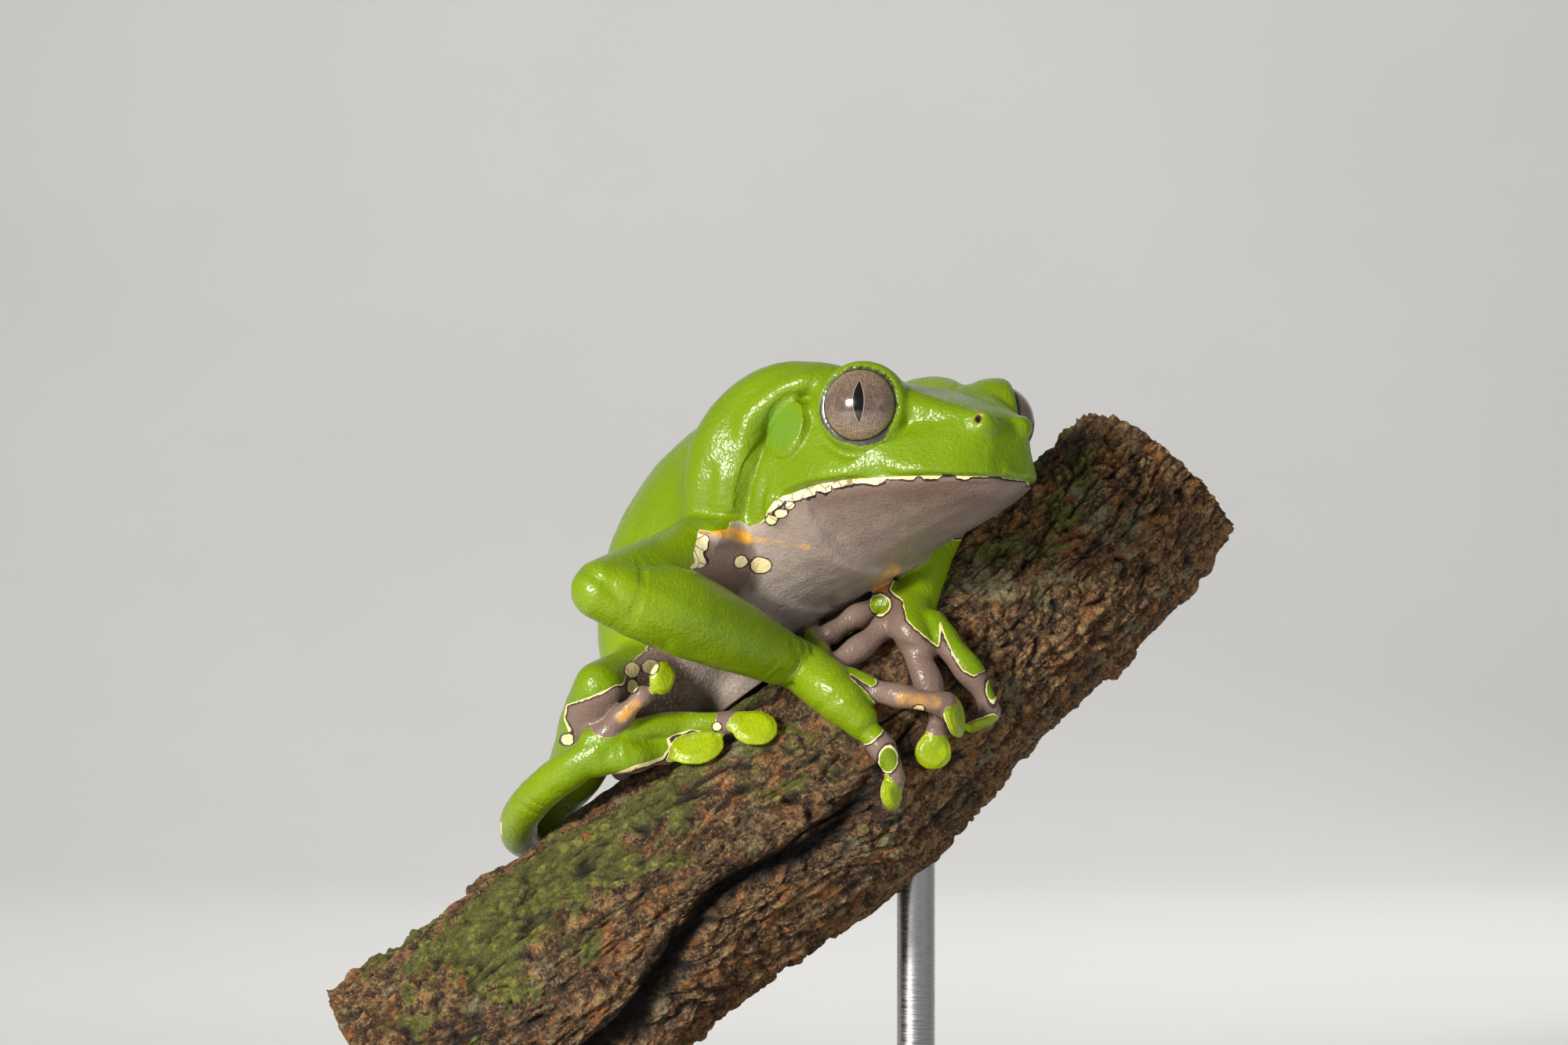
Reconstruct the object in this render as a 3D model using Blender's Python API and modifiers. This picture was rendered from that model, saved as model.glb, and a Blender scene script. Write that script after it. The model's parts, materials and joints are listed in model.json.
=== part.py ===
"""Giant monkey frog gripping a cut length of branch, on a plain display stand.

Metres, +Z up. The origin is the middle of the underside of the stand's base.
Sizes below are in millimetres. The frog's snout points along +X and -Y.
"""

import math

import bmesh
import bpy
import numpy as np
from mathutils import Matrix, Vector

MM = 0.001

# Driving sizes
GAP = 0.3
HEADING = 47.0
PITCH = -4.0
ROLL = 3.5
SNOUT = Vector((29.3, -22.9, 111.2))
EYE_BACK = 14.8
EYE_SIDE = 12.3
EYE_UP = 8.9
EYE_R = 5.2
EYE_TURN = 55.0
EYE_LIFT = 3.0
LID_R = 6.05
IRIS_R = 4.7
NOSTRIL = Vector((-2.0, 3.0, 6.2))
TYMPANUM = Vector((-26.0, 14.9, 7.2))
TYMPANUM_R = 3.6
# Fold between the gland and the ear: ahead of the snout, above the mouth
EAR_FOLD = (
    (-21.5, 11.6), (-25.5, 10.6), (-28.8, 8.0), (-30.2, 5.0), (-30.8, 2.4), (-32.2, -1.0), (-33.2, -4.5),
)

# Middle line and radius of the branch, from its low end
PERCH = (
    (-51.0, -4.0, 27.6, 18.6),
    (-36.1, -3.0, 37.4, 18.3),
    (-14.8, -1.5, 54.8, 17.4),
    (6.6, 3.5, 69.5, 16.8),
    (27.3, 14.0, 87.7, 15.6),
    (44.2, 22.0, 102.5, 14.6),
    (52.0, 25.0, 111.5, 14.2),
)
BASE_SIZE = (132.0, 92.0, 8.0)
ROD_R = 2.6
ROD_X = (-20.0, 18.0)

VOXEL = 0.5


# Basic helpers

def clear_scene():
    for ob in list(bpy.data.objects):
        bpy.data.objects.remove(ob, do_unlink=True)


def collection(name):
    made = bpy.data.collections.new(name)
    bpy.context.scene.collection.children.link(made)
    return made


def material(name, colour, roughness, metallic=0.0):
    made = bpy.data.materials.new(name)
    made.use_nodes = True
    shader = made.node_tree.nodes["Principled BSDF"]
    shader.inputs["Base Color"].default_value = (*colour, 1.0)
    shader.inputs["Roughness"].default_value = roughness
    shader.inputs["Metallic"].default_value = metallic
    made.diffuse_color = (*colour, 1.0)
    return made


def make_object(name, bm, where, mat=None):
    mesh = bpy.data.meshes.new(name)
    bm.to_mesh(mesh)
    bm.free()
    ob = bpy.data.objects.new(name, mesh)
    where.objects.link(ob)
    if mat:
        mesh.materials.append(mat)
    return ob


def applied(ob):
    """Replace an object's mesh by its evaluated mesh and drop its modifiers."""
    graph = bpy.context.evaluated_depsgraph_get()
    mesh = bpy.data.meshes.new_from_object(ob.evaluated_get(graph))
    ob.modifiers.clear()
    ob.data = mesh
    return ob


def add_modifier(ob, kind, **values):
    made = ob.modifiers.new(kind.title(), kind)
    for key, value in values.items():
        setattr(made, key, value)
    return made


# Frames of the head and body

def turned(heading):
    """Forward and right-hand directions of a heading in degrees from +X to -Y."""
    t = math.radians(heading)
    forward = Vector((math.cos(t), -math.sin(t), 0.0))
    right = Vector((-math.sin(t), -math.cos(t), 0.0))
    return forward, right


def head_matrix():
    forward, right = turned(HEADING)
    up = Vector((0.0, 0.0, 1.0))
    flat = Matrix((forward, right, up)).transposed()
    pitch = Matrix.Rotation(math.radians(PITCH), 3, "Y")
    roll = Matrix.Rotation(math.radians(ROLL), 3, "X")
    return Matrix.Translation(SNOUT) @ (flat @ pitch @ roll).to_4x4()


HEAD = head_matrix()


def on_head(a, b, c):
    """A point a ahead of the snout tip, b to the frog's right, c above the mouth."""
    return HEAD @ Vector((a, b, c))


# Lofts, tubes and balls

def spline(points, steps):
    """Catmull-Rom points through rows of numbers, with steps between neighbours."""
    rows = np.array(points, dtype=float)
    out = []
    for i in range(len(rows) - 1):
        before = rows[max(i - 1, 0)]
        after = rows[min(i + 2, len(rows) - 1)]
        for k in range(steps):
            t = k / steps
            out.append(0.5 * (
                2 * rows[i]
                + (rows[i + 1] - before) * t
                + (2 * before - 5 * rows[i] + 4 * rows[i + 1] - after) * t * t
                + (3 * rows[i] - before - 3 * rows[i + 1] + after) * t ** 3
            ))
    out.append(rows[-1])
    return np.array(out)


def skin_rings(bm, rings):
    """Join rings of points, each with as many points, and close both ends."""
    made = [[bm.verts.new(p) for p in ring] for ring in rings]
    n = len(made[0])
    for one, two in zip(made, made[1:]):
        for i in range(n):
            j = (i + 1) % n
            bm.faces.new((one[i], one[j], two[j], two[i]))
    bm.faces.new(list(reversed(made[0])))
    bm.faces.new(made[-1])
    return bm


def finished(bm):
    bmesh.ops.recalc_face_normals(bm, faces=bm.faces)
    return bm


def tube(points, side=None, sides=16, steps=5):
    """A round-ended limb through rows of x, y, z, radius and flatness.

    Flatness scales the radius across the direction side.
    """
    rows = spline([list(p) + [1.0] * (5 - len(p)) for p in points], steps)
    centres = [Vector(r[:3]) for r in rows]
    rings = []
    axis = Vector(side) if side else Vector((0.3, 0.2, 1.0))
    count = len(rows)
    for i in range(count):
        ahead = centres[min(i + 1, count - 1)] - centres[max(i - 1, 0)]
        ahead.normalize()
        u = axis - ahead * axis.dot(ahead)
        u.normalize()
        v = ahead.cross(u)
        r = rows[i][3]
        flat = rows[i][4]
        shrinks = [(0.0, 1.0)]
        if i == 0:
            shrinks = [(-math.cos(math.radians(t)), math.sin(math.radians(t))) for t in (12, 40, 68)]
            shrinks.append((0.0, 1.0))
        if i == count - 1:
            shrinks += [(math.cos(math.radians(t)), math.sin(math.radians(t))) for t in (68, 40, 12)]
        for along, size in shrinks:
            middle = centres[i] + ahead * along * r * min(flat, 1.0)
            ring = []
            for k in range(sides):
                t = 2 * math.pi * k / sides
                ring.append(middle + (u * math.cos(t) * flat + v * math.sin(t)) * r * size)
            rings.append(ring)
    return finished(skin_rings(bmesh.new(), rings))


def ball(centre, radii, turn=None):
    bm = bmesh.new()
    bmesh.ops.create_uvsphere(bm, u_segments=28, v_segments=18, radius=1.0)
    size = Matrix.Diagonal((*radii, 1.0))
    rotation = turn.to_4x4() if turn else Matrix.Identity(4)
    bm.transform(Matrix.Translation(centre) @ rotation @ size)
    return finished(bm)


def pad(centre, facing, radius, thick, long=1.0, along=(0, 0, 1)):
    """A finger or toe disc: a flat ball that faces one way."""
    z = Vector(facing).normalized()
    x = Vector(along) - z * Vector(along).dot(z)
    x.normalize()
    y = z.cross(x)
    turn = Matrix((x, y, z)).transposed()
    return ball(Vector(centre), (radius * long, radius, thick), turn)


def settled(point, lift, move):
    """Slide a point along a direction until it is lift above the bark."""
    rows = spline(PERCH, 12)
    near, far = 0.0, 60.0
    start = np.array(point, dtype=float)
    for _ in range(40):
        middle = (near + far) / 2
        away = start + np.array(move, dtype=float) * (middle - 30.0) - rows[:, :3]
        gap = np.min(np.linalg.norm(away, axis=1) - rows[:, 3])
        if gap > lift:
            far = middle
        else:
            near = middle
    return tuple(start + np.array(move, dtype=float) * (near - 30.0))


def grip(x, z, lift, side=-1):
    """A point over the bark, seen at x and z, on the near or far side."""
    return settled((x, side * 20.0, z), lift, (0.0, side, 0.0))


def ridge(x, y, lift):
    """A point over the top of the branch, seen from above at x and y."""
    return settled((x, y, 90.0), lift, (0.0, 0.0, 1.0))


# Head

# Back from the snout: lip half width, canthus half width and height, top height
SKULL = (
    (-0.9, 3.2, 2.6, 5.0, 5.6),
    (-1.8, 5.6, 4.2, 7.2, 7.5),
    (-3.8, 8.3, 5.0, 8.6, 8.9),
    (-7.0, 11.0, 6.0, 9.8, 10.2),
    (-11.0, 13.4, 7.4, 10.9, 11.4),
    (-15.0, 15.0, 9.3, 11.9, 12.6),
    (-20.0, 16.1, 11.5, 12.6, 13.7),
    (-25.0, 16.3, 13.0, 12.6, 15.0),
    (-30.0, 16.2, 13.6, 12.0, 16.2),
    (-35.0, 15.8, 13.0, 10.5, 16.8),
)
# Back from the snout: jaw half width, depth of the throat
THROAT = (
    (-1.3, 3.2, 1.6),
    (-2.8, 6.5, 2.8),
    (-5.5, 9.4, 4.0),
    (-10.5, 12.5, 5.8),
    (-15.5, 14.3, 7.6),
    (-21.0, 15.3, 9.8),
    (-27.0, 15.4, 12.2),
    (-33.0, 15.0, 15.0),
    (-38.0, 14.0, 17.0),
)
# Line of the mouth: back from the snout, half width, height
MOUTH = (
    (-0.9, 0.0, -0.45),
    (-1.6, 3.4, -0.45),
    (-3.0, 7.0, -0.45),
    (-6.0, 10.2, -0.4),
    (-11.0, 13.1, -0.35),
    (-16.0, 15.0, -0.45),
    (-21.5, 15.9, -0.8),
    (-26.2, 15.9, -1.9),
)


def skull():
    rings = []
    for a, w, wc, hc, ht in spline(SKULL, 4):
        low = -1.0
        half = [
            (0.0, low), (w * 0.5, low), (w * 0.88, low * 0.9), (w, 0.35),
            (w * 0.99, 1.6), (w * 0.7 + wc * 0.3, hc * 0.45), (w * 0.3 + wc * 0.72, hc * 0.78),
            (wc * 0.93, hc), (wc * 0.62, hc * 0.4 + ht * 0.6 + 0.1), (wc * 0.3, ht), (0.0, ht),
        ]
        other = [(-b, c) for b, c in reversed(half[1:-1])]
        rings.append([on_head(a, b, c) for b, c in half + other])
    return finished(skin_rings(bmesh.new(), rings))


def throat():
    rings = []
    for a, w, d in spline(THROAT, 4):
        half = [
            (0.0, 1.5), (w * 0.6, 1.5), (w * 0.96, 0.6), (w, -0.5), (w * 0.93, -d * 0.2 - 0.5),
            (w * 0.76, -d * 0.52), (w * 0.5, -d * 0.8), (w * 0.24, -d * 0.96), (0.0, -d),
        ]
        other = [(-b, c) for b, c in reversed(half[1:-1])]
        rings.append([on_head(a, b, c) for b, c in half + other])
    return finished(skin_rings(bmesh.new(), rings))


def eye_axis(sign):
    """Where an eye looks, in the head's own directions."""
    t = math.radians(EYE_TURN)
    lift = math.radians(EYE_LIFT)
    return Vector((math.cos(t) * math.cos(lift), sign * math.sin(t) * math.cos(lift), math.sin(lift)))


def eye_centre(sign):
    return Vector((-EYE_BACK, sign * EYE_SIDE, EYE_UP))


def head_pieces():
    pieces = [skull(), throat()]
    for sign in (1, -1):
        centre = eye_centre(sign)
        pieces.append(ball(HEAD @ centre, (LID_R,) * 3))
        # Brow that runs from the eye into the crown, and the ridge to the nostril
        pieces.append(tube([
            (*on_head(-21.0, sign * 10.5, 9.6), 4.4),
            (*on_head(-15.8, sign * 9.6, 9.3), 4.6),
            (*on_head(-10.0, sign * 7.0, 8.2), 2.8),
            (*on_head(-5.5, sign * 4.8, 7.3), 1.9),
            (*on_head(-2.8, sign * 3.4, 6.6), 1.6),
        ]))
        # Swollen gland from behind the eye, over the ear, down to the shoulder
        pieces.append(tube([
            (*on_head(-19.0, sign * 9.0, 12.0), 2.4),
            (*on_head(-24.0, sign * 11.0, 12.8), 3.2),
            (*on_head(-30.5, sign * 12.8, 11.8), 4.4),
            (*on_head(-35.6, sign * 14.2, 7.6), 5.6),
            (*on_head(-38.2, sign * 14.8, 1.6), 6.0),
            (*on_head(-39.2, sign * 14.0, -5.0), 5.4),
        ]))
        # Ear drum, and the bump round the nostril
        ear = Vector((TYMPANUM.x, sign * TYMPANUM.y, TYMPANUM.z))
        facing = HEAD.to_3x3() @ Vector((-0.12, sign * 1.0, 0.08))
        along = HEAD.to_3x3() @ Vector((0.35, 0.0, 1.0))
        pieces.append(pad(HEAD @ ear, facing, TYMPANUM_R, 1.7, 1.12, along))
        nose = Vector((NOSTRIL.x, sign * NOSTRIL.y, NOSTRIL.z))
        pieces.append(ball(HEAD @ nose, (1.7,) * 3))
        # Upper lip that stands over the mouth, and the corner of the jaw
        lip = [(*on_head(x - 0.35, sign * (w - 0.45), z + 1.0), 0.75) for x, w, z in MOUTH]
        pieces.append(tube(lip, sides=12, steps=3))
        pieces.append(ball(on_head(-28.0, sign * 13.8, -2.8), (3.2,) * 3))
    return pieces


# Trunk: x, y, z, half width, reach up the back, reach down the belly, heading
TRUNK = (
    (13.0, -6.5, 110.5, 14.6, 10.0, 12.5, 45),
    (6.5, -0.5, 110.0, 15.6, 12.2, 15.0, 43),
    (0.5, 5.0, 108.0, 16.2, 14.2, 16.5, 41),
    (-5.0, 9.0, 103.0, 16.2, 15.2, 16.0, 38),
    (-10.0, 12.0, 96.0, 15.4, 14.6, 14.0, 34),
    (-13.5, 13.5, 89.0, 13.4, 11.8, 11.5, 31),
    (-15.5, 13.5, 83.0, 10.5, 8.8, 9.0, 30),
    (-16.5, 13.0, 78.5, 6.5, 6.0, 6.0, 30),
    (-16.8, 12.6, 76.4, 2.5, 2.6, 2.6, 30),
)


def trunk():
    rings = []
    rows = spline(TRUNK, 4)
    count = len(rows)
    for i in range(count):
        x, y, z, w, up, down, heading = rows[i]
        forward, right = turned(heading)
        ahead = Vector(rows[max(i - 1, 0)][:3]) - Vector(rows[min(i + 1, count - 1)][:3])
        ahead -= right * ahead.dot(right)
        ahead.normalize()
        dorsal = right.cross(ahead) * -1.0
        if dorsal.z < -0.1:
            dorsal = -dorsal
        ring = []
        for k in range(28):
            t = 2 * math.pi * k / 28
            reach = up if math.sin(t) > 0 else down
            side = abs(math.cos(t)) ** 0.9 * math.copysign(1, math.cos(t))
            rise = abs(math.sin(t)) ** 0.95 * math.copysign(1, math.sin(t))
            ring.append(Vector((x, y, z)) + right * side * w + dorsal * rise * reach)
        rings.append(ring)
    return finished(skin_rings(bmesh.new(), rings))


def belly():
    """The belly where it rests on the top of the branch."""
    return [
        ball(Vector((9.5, 11.5, 91.0)), (9.5, 6.5, 7.5)),
        ball(Vector((-5.5, 10.5, 83.0)), (8.0, 7.0, 6.5)),
    ]


# Limb joints
R_SHOULDER = (-7.5, -4.0, 101.5)
R_ELBOW = (-23.2, -24.0, 96.4)
R_WRIST = (1.8, -7.5, 86.2)
R_HIP = (-17.0, 6.0, 83.0)
R_KNEE = (-24.2, -11.0, 83.4)
R_HEEL = (-35.0, 9.5, 61.5)
L_SHOULDER = (12.0, 15.0, 101.0)
L_ELBOW = (25.0, 22.0, 110.2)
L_WRIST = (18.0, 1.6, 95.8)
L_HIP = (-11.0, 20.5, 83.0)
L_KNEE = (6.0, 37.0, 86.0)
L_HEEL = (-24.5, 24.8, 63.6)


def arms():
    return [
        # Right upper arm and shoulder muscle
        tube([
            (-2.0, 2.0, 103.0, 7.5), (*R_SHOULDER, 6.4), (-15.0, -13.4, 99.5, 4.6),
            (-20.5, -20.6, 97.6, 4.0), (*R_ELBOW, 3.9),
        ]),
        # Right forearm
        tube([
            (*R_ELBOW, 4.0), (-18.5, -22.4, 94.8, 4.9), (-13.8, -19.6, 93.6, 5.6),
            (-7.0, -14.8, 90.4, 5.0), (-2.2, -10.8, 88.0, 4.0), (*R_WRIST, 3.5), (4.6, -6.6, 84.6, 3.6),
        ]),
        # Left upper arm
        tube([(6.0, 9.0, 103.0, 7.0), (*L_SHOULDER, 6.0), (19.0, 19.4, 106.2, 4.4), (*L_ELBOW, 3.8)]),
        # Left forearm, over the ridge of the branch
        tube([
            (*L_ELBOW, 3.8), (24.2, 17.6, 108.4, 4.0), (22.2, 12.0, 105.0, 3.8),
            (19.9, 6.4, 100.6, 3.3), (*L_WRIST, 3.2), (17.2, -0.4, 93.4, 3.2),
        ]),
    ]


def finger(rows, side=-1):
    """A digit through rows of x, z, height of its middle above the bark, radius."""
    return tube([(*grip(x, z, lift, side), r) for x, z, lift, r in rows])


def over(rows):
    """A digit that lies across the top of the branch: rows of x, y, lift, radius."""
    return tube([(*ridge(x, y, lift), r) for x, y, lift, r in rows])


def hands_r():
    return [
        # Palm, outer finger with its disc, and inner finger with its disc
        tube([(3.0, -7.4, 85.6, 3.6), (*grip(6.8, 82.4, 2.6), 3.9, 0.9), (*grip(10.0, 79.2, 2.0), 2.7, 0.9)]),
        finger([(9.0, 79.6, 1.8, 2.3), (12.2, 76.4, 1.7, 1.8), (13.9, 73.6, 1.5, 1.65), (14.6, 71.4, 1.3, 1.3)]),
        pad(grip(14.0, 69.6, 1.2), (0.75, -0.6, 0.1), 2.0, 1.0, 1.15),
        finger([
            (8.5, 83.6, 2.2, 2.5), (11.8, 83.0, 3.2, 1.8), (15.8, 82.2, 5.2, 1.45), (19.2, 81.6, 5.8, 1.7),
            (21.0, 81.2, 5.6, 1.7),
        ]),
        pad(grip(22.4, 79.6, 4.8), (0.9, -0.35, 0.2), 3.1, 1.05),
        # Two fingers across the top of the branch, behind the wrist
        tube([(4.8, -5.8, 86.6, 2.0), (*ridge(4.4, -1.0, 1.5), 1.6), (*ridge(4.2, 4.0, 1.4), 1.4)]),
        over([(4.2, 3.0, 1.4, 1.4), (4.0, 7.0, 1.4, 1.5)]),
        pad(ridge(3.8, 9.6, 1.2), (-0.35, 0.35, 0.87), 2.5, 1.05),
        tube([(2.6, -5.6, 86.0, 1.9), (*ridge(0.4, -1.0, 1.4), 1.5), (*ridge(-1.4, 3.6, 1.3), 1.3)]),
        pad(ridge(-2.4, 6.0, 1.2), (-0.35, 0.2, 0.9), 2.2, 1.0),
    ]


def hands_l():
    return [
        # Palm, third finger and its disc, fourth finger, and the two that point down the branch
        tube([(17.2, -0.2, 93.6, 3.2), (*grip(16.8, 91.0, 2.4), 3.1, 0.85), (*grip(18.4, 88.2, 1.9), 2.2, 0.85)]),
        finger([
            (15.8, 91.6, 1.8, 1.95), (17.6, 87.4, 1.6, 1.8), (19.3, 83.2, 1.6, 1.7), (20.2, 79.4, 1.5, 1.45),
            (20.0, 77.0, 1.6, 1.5),
        ]),
        pad(grip(19.6, 74.9, 1.6), (0.0, -1.0, 0.0), 2.6, 1.1, 0.97),
        finger([
            (19.6, 91.2, 1.9, 2.4), (22.2, 88.2, 1.9, 2.0), (24.8, 84.9, 1.7, 1.75), (26.6, 82.0, 1.6, 1.5),
            (27.3, 79.9, 1.5, 1.4),
        ]),
        pad(grip(25.8, 78.3, 1.5), (0.35, -0.3, -0.9), 2.0, 0.8, 1.2, (1, 0, 0.3)),
        finger([(14.8, 92.4, 1.9, 2.0), (12.6, 90.4, 1.9, 1.7), (9.8, 88.2, 1.8, 1.6), (8.4, 87.3, 1.7, 1.6)]),
        tube([(14.8, 1.0, 95.2, 2.0), (11.8, 0.6, 93.2, 1.7), (*ridge(9.4, -0.2, 1.8), 1.6)]),
    ]


def legs():
    return [
        # Right thigh and shank
        tube([
            (-13.0, 9.0, 86.0, 7.0), (*R_HIP, 6.6), (-20.0, -1.0, 82.8, 5.6),
            (-22.8, -7.4, 83.2, 4.3), (*R_KNEE, 3.4),
        ]),
        tube([
            (*R_KNEE, 3.4), (-25.6, -6.0, 78.6, 4.2), (-27.6, 0.6, 72.6, 4.1),
            (-31.4, 6.6, 66.6, 3.0), (*R_HEEL, 2.6),
        ]),
        # Left thigh and shank
        tube([
            (-13.0, 15.0, 87.0, 7.0), (*L_HIP, 6.6), (-4.5, 27.0, 84.5, 6.0),
            (2.0, 33.5, 86.0, 4.8), (*L_KNEE, 3.7),
        ]),
        tube([
            (*L_KNEE, 3.4), (2.0, 36.8, 81.5, 4.2), (-6.0, 34.8, 76.5, 4.3),
            (-15.0, 31.0, 70.5, 3.5), (*L_HEEL, 2.6),
        ]),
    ]


def feet_r():
    return [
        # Right tarsus
        tube([
            (*R_HEEL, 2.6), (-35.8, 4.8, 62.8, 2.6), (-35.2, -1.0, 65.6, 2.6), (-32.4, -6.6, 69.2, 2.6),
            (-28.2, -10.2, 72.6, 2.6), (-24.0, -11.6, 74.9, 2.5), (-21.0, -11.6, 75.6, 2.3),
        ]),
        # Fifth and fourth toes, side by side, with their discs
        tube([(-26.0, -11.2, 73.6, 2.1), (-20.8, -12.2, 74.2, 2.1), (*grip(-15.4, 75.0, 2.0), 1.95)]),
        pad(grip(-11.5, 75.4, 1.5), (-0.12, -0.82, 0.55), 2.75, 1.1, 1.42, (1, 0, 0.15)),
        tube([
            (-25.0, -11.4, 76.3, 2.0), (-20.0, -11.4, 77.6, 1.9), (-14.4, -9.0, 78.2, 1.8),
            (-9.8, -9.4, 78.6, 1.65), (*grip(-6.6, 78.6, 1.6), 1.5),
        ]),
        pad(grip(-3.9, 78.0, 1.5), (0.0, -0.85, 0.52), 2.75, 1.1, 1.2, (1, -0.1, -0.05)),
        # First toe, which stands up against the knee
        tube([(-24.0, -11.8, 76.4, 1.8), (-21.4, -13.2, 79.4, 1.4), (-18.4, -14.0, 82.4, 1.25)]),
        pad((-15.8, -14.2, 84.7), (0.5, -0.8, 0.1), 1.9, 1.0, 1.25, (0.5, 0, 1)),
        # Second and third toes, behind, across the top of the branch
        tube([(-21.6, -8.4, 75.0, 1.6), (*ridge(-18.2, -4.6, 1.0), 1.3), (*ridge(-15.4, -0.6, 1.0), 1.2)]),
        pad(ridge(-13.9, 1.8, 1.0), (-0.35, 0.0, 0.9), 1.9, 0.95, 1.25, (0.6, 1, 0.4)),
        tube([(-23.0, -8.8, 75.4, 1.6), (*ridge(-21.6, -4.6, 1.1), 1.3), (*ridge(-20.2, -0.4, 1.0), 1.2)]),
        pad(ridge(-19.4, 2.2, 1.0), (-0.45, 0.0, 0.85), 1.8, 0.95, 1.2, (0.4, 1, 0.3)),
    ]


def feet_l():
    return [
        # Left tarsus and fourth toe, over the far side of the branch
        tube([
            (*L_HEEL, 2.7), (-21.6, 21.4, 63.8, 2.4), (-15.0, 20.2, 66.4, 2.5), (-9.0, 20.4, 70.6, 2.4),
            (*grip(-3.0, 75.6, 1.8, 1), 1.9), (*grip(1.2, 79.2, 1.6, 1), 1.5),
        ]),
        pad(grip(3.8, 81.4, 1.5, 1), (-0.2, 0.9, 0.4), 2.5, 1.15, 1.3, (1, 0, 0.8)),
        # Fifth and third toes, then the second and the first
        tube([(-9.0, 20.8, 70.0, 1.9), (*grip(-3.6, 71.0, 1.7, 1), 1.6), (*grip(1.6, 72.8, 1.5, 1), 1.4)]),
        pad(grip(4.6, 74.0, 1.4, 1), (0.0, 0.98, 0.1), 2.3, 1.1, 1.3, (1, 0, 0.4)),
        tube([(-9.4, 19.8, 71.6, 1.8), (*grip(-5.4, 76.6, 1.7, 1), 1.5), (*grip(-3.4, 80.2, 1.5, 1), 1.3)]),
        pad(grip(-2.2, 82.6, 1.4, 1), (-0.3, 0.8, 0.5), 2.1, 1.1, 1.25, (0.4, 0, 1)),
        tube([(-13.0, 19.4, 68.4, 1.7), (*grip(-11.4, 73.0, 1.6, 1), 1.3), (*grip(-10.4, 76.0, 1.4, 1), 1.2)]),
        pad(grip(-9.8, 78.0, 1.3, 1), (-0.3, 0.8, 0.5), 1.8, 1.0, 1.25, (0.3, 0, 1)),
        tube([(-14.0, 20.6, 66.6, 1.8), (*grip(-10.4, 63.4, 1.6, 1), 1.4), (*grip(-7.8, 61.0, 1.4, 1), 1.2)]),
        pad(grip(-6.0, 59.2, 1.3, 1), (0.0, 0.98, -0.1), 1.9, 1.0, 1.2, (0.6, 0, -0.8)),
    ]


# Joining and cutting

def merged(pieces):
    """One mesh that holds several closed pieces."""
    whole = bmesh.new()
    for bm in pieces:
        mesh = bpy.data.meshes.new("piece")
        bm.to_mesh(mesh)
        bm.free()
        whole.from_mesh(mesh)
        bpy.data.meshes.remove(mesh)
    return whole


def boolean(ob, cutter, operation="DIFFERENCE"):
    add_modifier(ob, "BOOLEAN", object=cutter, operation=operation, solver="EXACT")
    return applied(ob)


def largest_shells(ob):
    """Lists of face indices of each connected piece, the largest first."""
    bm = bmesh.new()
    bm.from_mesh(ob.data)
    seen = set()
    shells = []
    for face in bm.faces:
        if face.index in seen:
            continue
        stack = [face]
        seen.add(face.index)
        shell = []
        while stack:
            one = stack.pop()
            shell.append(one.index)
            for edge in one.edges:
                for other in edge.link_faces:
                    if other.index not in seen:
                        seen.add(other.index)
                        stack.append(other)
        shells.append(shell)
    bm.free()
    return sorted(shells, key=len, reverse=True)


def keep_faces(ob, faces, name, where, mat):
    kept = set(faces)
    bm = bmesh.new()
    bm.from_mesh(ob.data)
    bm.faces.ensure_lookup_table()
    gone = [f for f in bm.faces if f.index not in kept]
    bmesh.ops.delete(bm, geom=gone, context="FACES")
    return make_object(name, bm, where, mat)


# Where the body is parted: middle, direction of the cut, reach
CUTS = {
    "neck": ((2.6, -1.8, 108.5), (0.62, -0.79, 0.36), 34.0),
    "shoulder_r": ((-12.4, -10.4, 100.6), (-0.6, -0.78, -0.15), 9.0),
    "wrist_r": (R_WRIST, (0.8, 0.5, -0.42), 20.0),
    "shoulder_l": ((15.4, 17.0, 103.4), (0.78, 0.45, 0.5), 9.0),
    "wrist_l": (L_WRIST, (-0.28, -0.62, -0.73), 20.0),
    "hip_r": ((-19.6, -1.8, 82.7), (-0.38, -0.92, 0.0), 11.0),
    "hip_l": ((-6.4, 25.2, 84.2), (0.7, 0.7, 0.1), 10.5),
}
# Folded joints are cut along the mitre between a point before and a point after
FOLDS = {
    "elbow_r": ((-20.5, -20.6, 97.6), R_ELBOW, (-18.5, -22.4, 94.8)),
    "elbow_l": ((19.0, 19.4, 106.2), L_ELBOW, (24.2, 17.6, 108.4)),
    "knee_r": ((-22.8, -7.4, 83.2), R_KNEE, (-25.6, -6.0, 78.6)),
    "knee_l": ((2.0, 33.5, 86.0), L_KNEE, (2.0, 36.5, 81.5)),
    "ankle_r": ((-31.4, 6.6, 66.6), R_HEEL, (-35.8, 4.8, 62.8)),
    "ankle_l": ((-15.0, 31.0, 70.5), L_HEEL, (-21.6, 21.4, 63.8)),
}
for fold, (before, joint, after) in FOLDS.items():
    inward = (Vector(before) - Vector(joint)).normalized()
    outward = (Vector(after) - Vector(joint)).normalized()
    CUTS[fold] = (joint, tuple(outward - inward), 9.0 if "ankle" in fold else 40.0)


def smooth_step(low, high, value):
    t = np.clip((value - low) / (high - low), 0.0, 1.0)
    return t * t * (3 - 2 * t)


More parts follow.
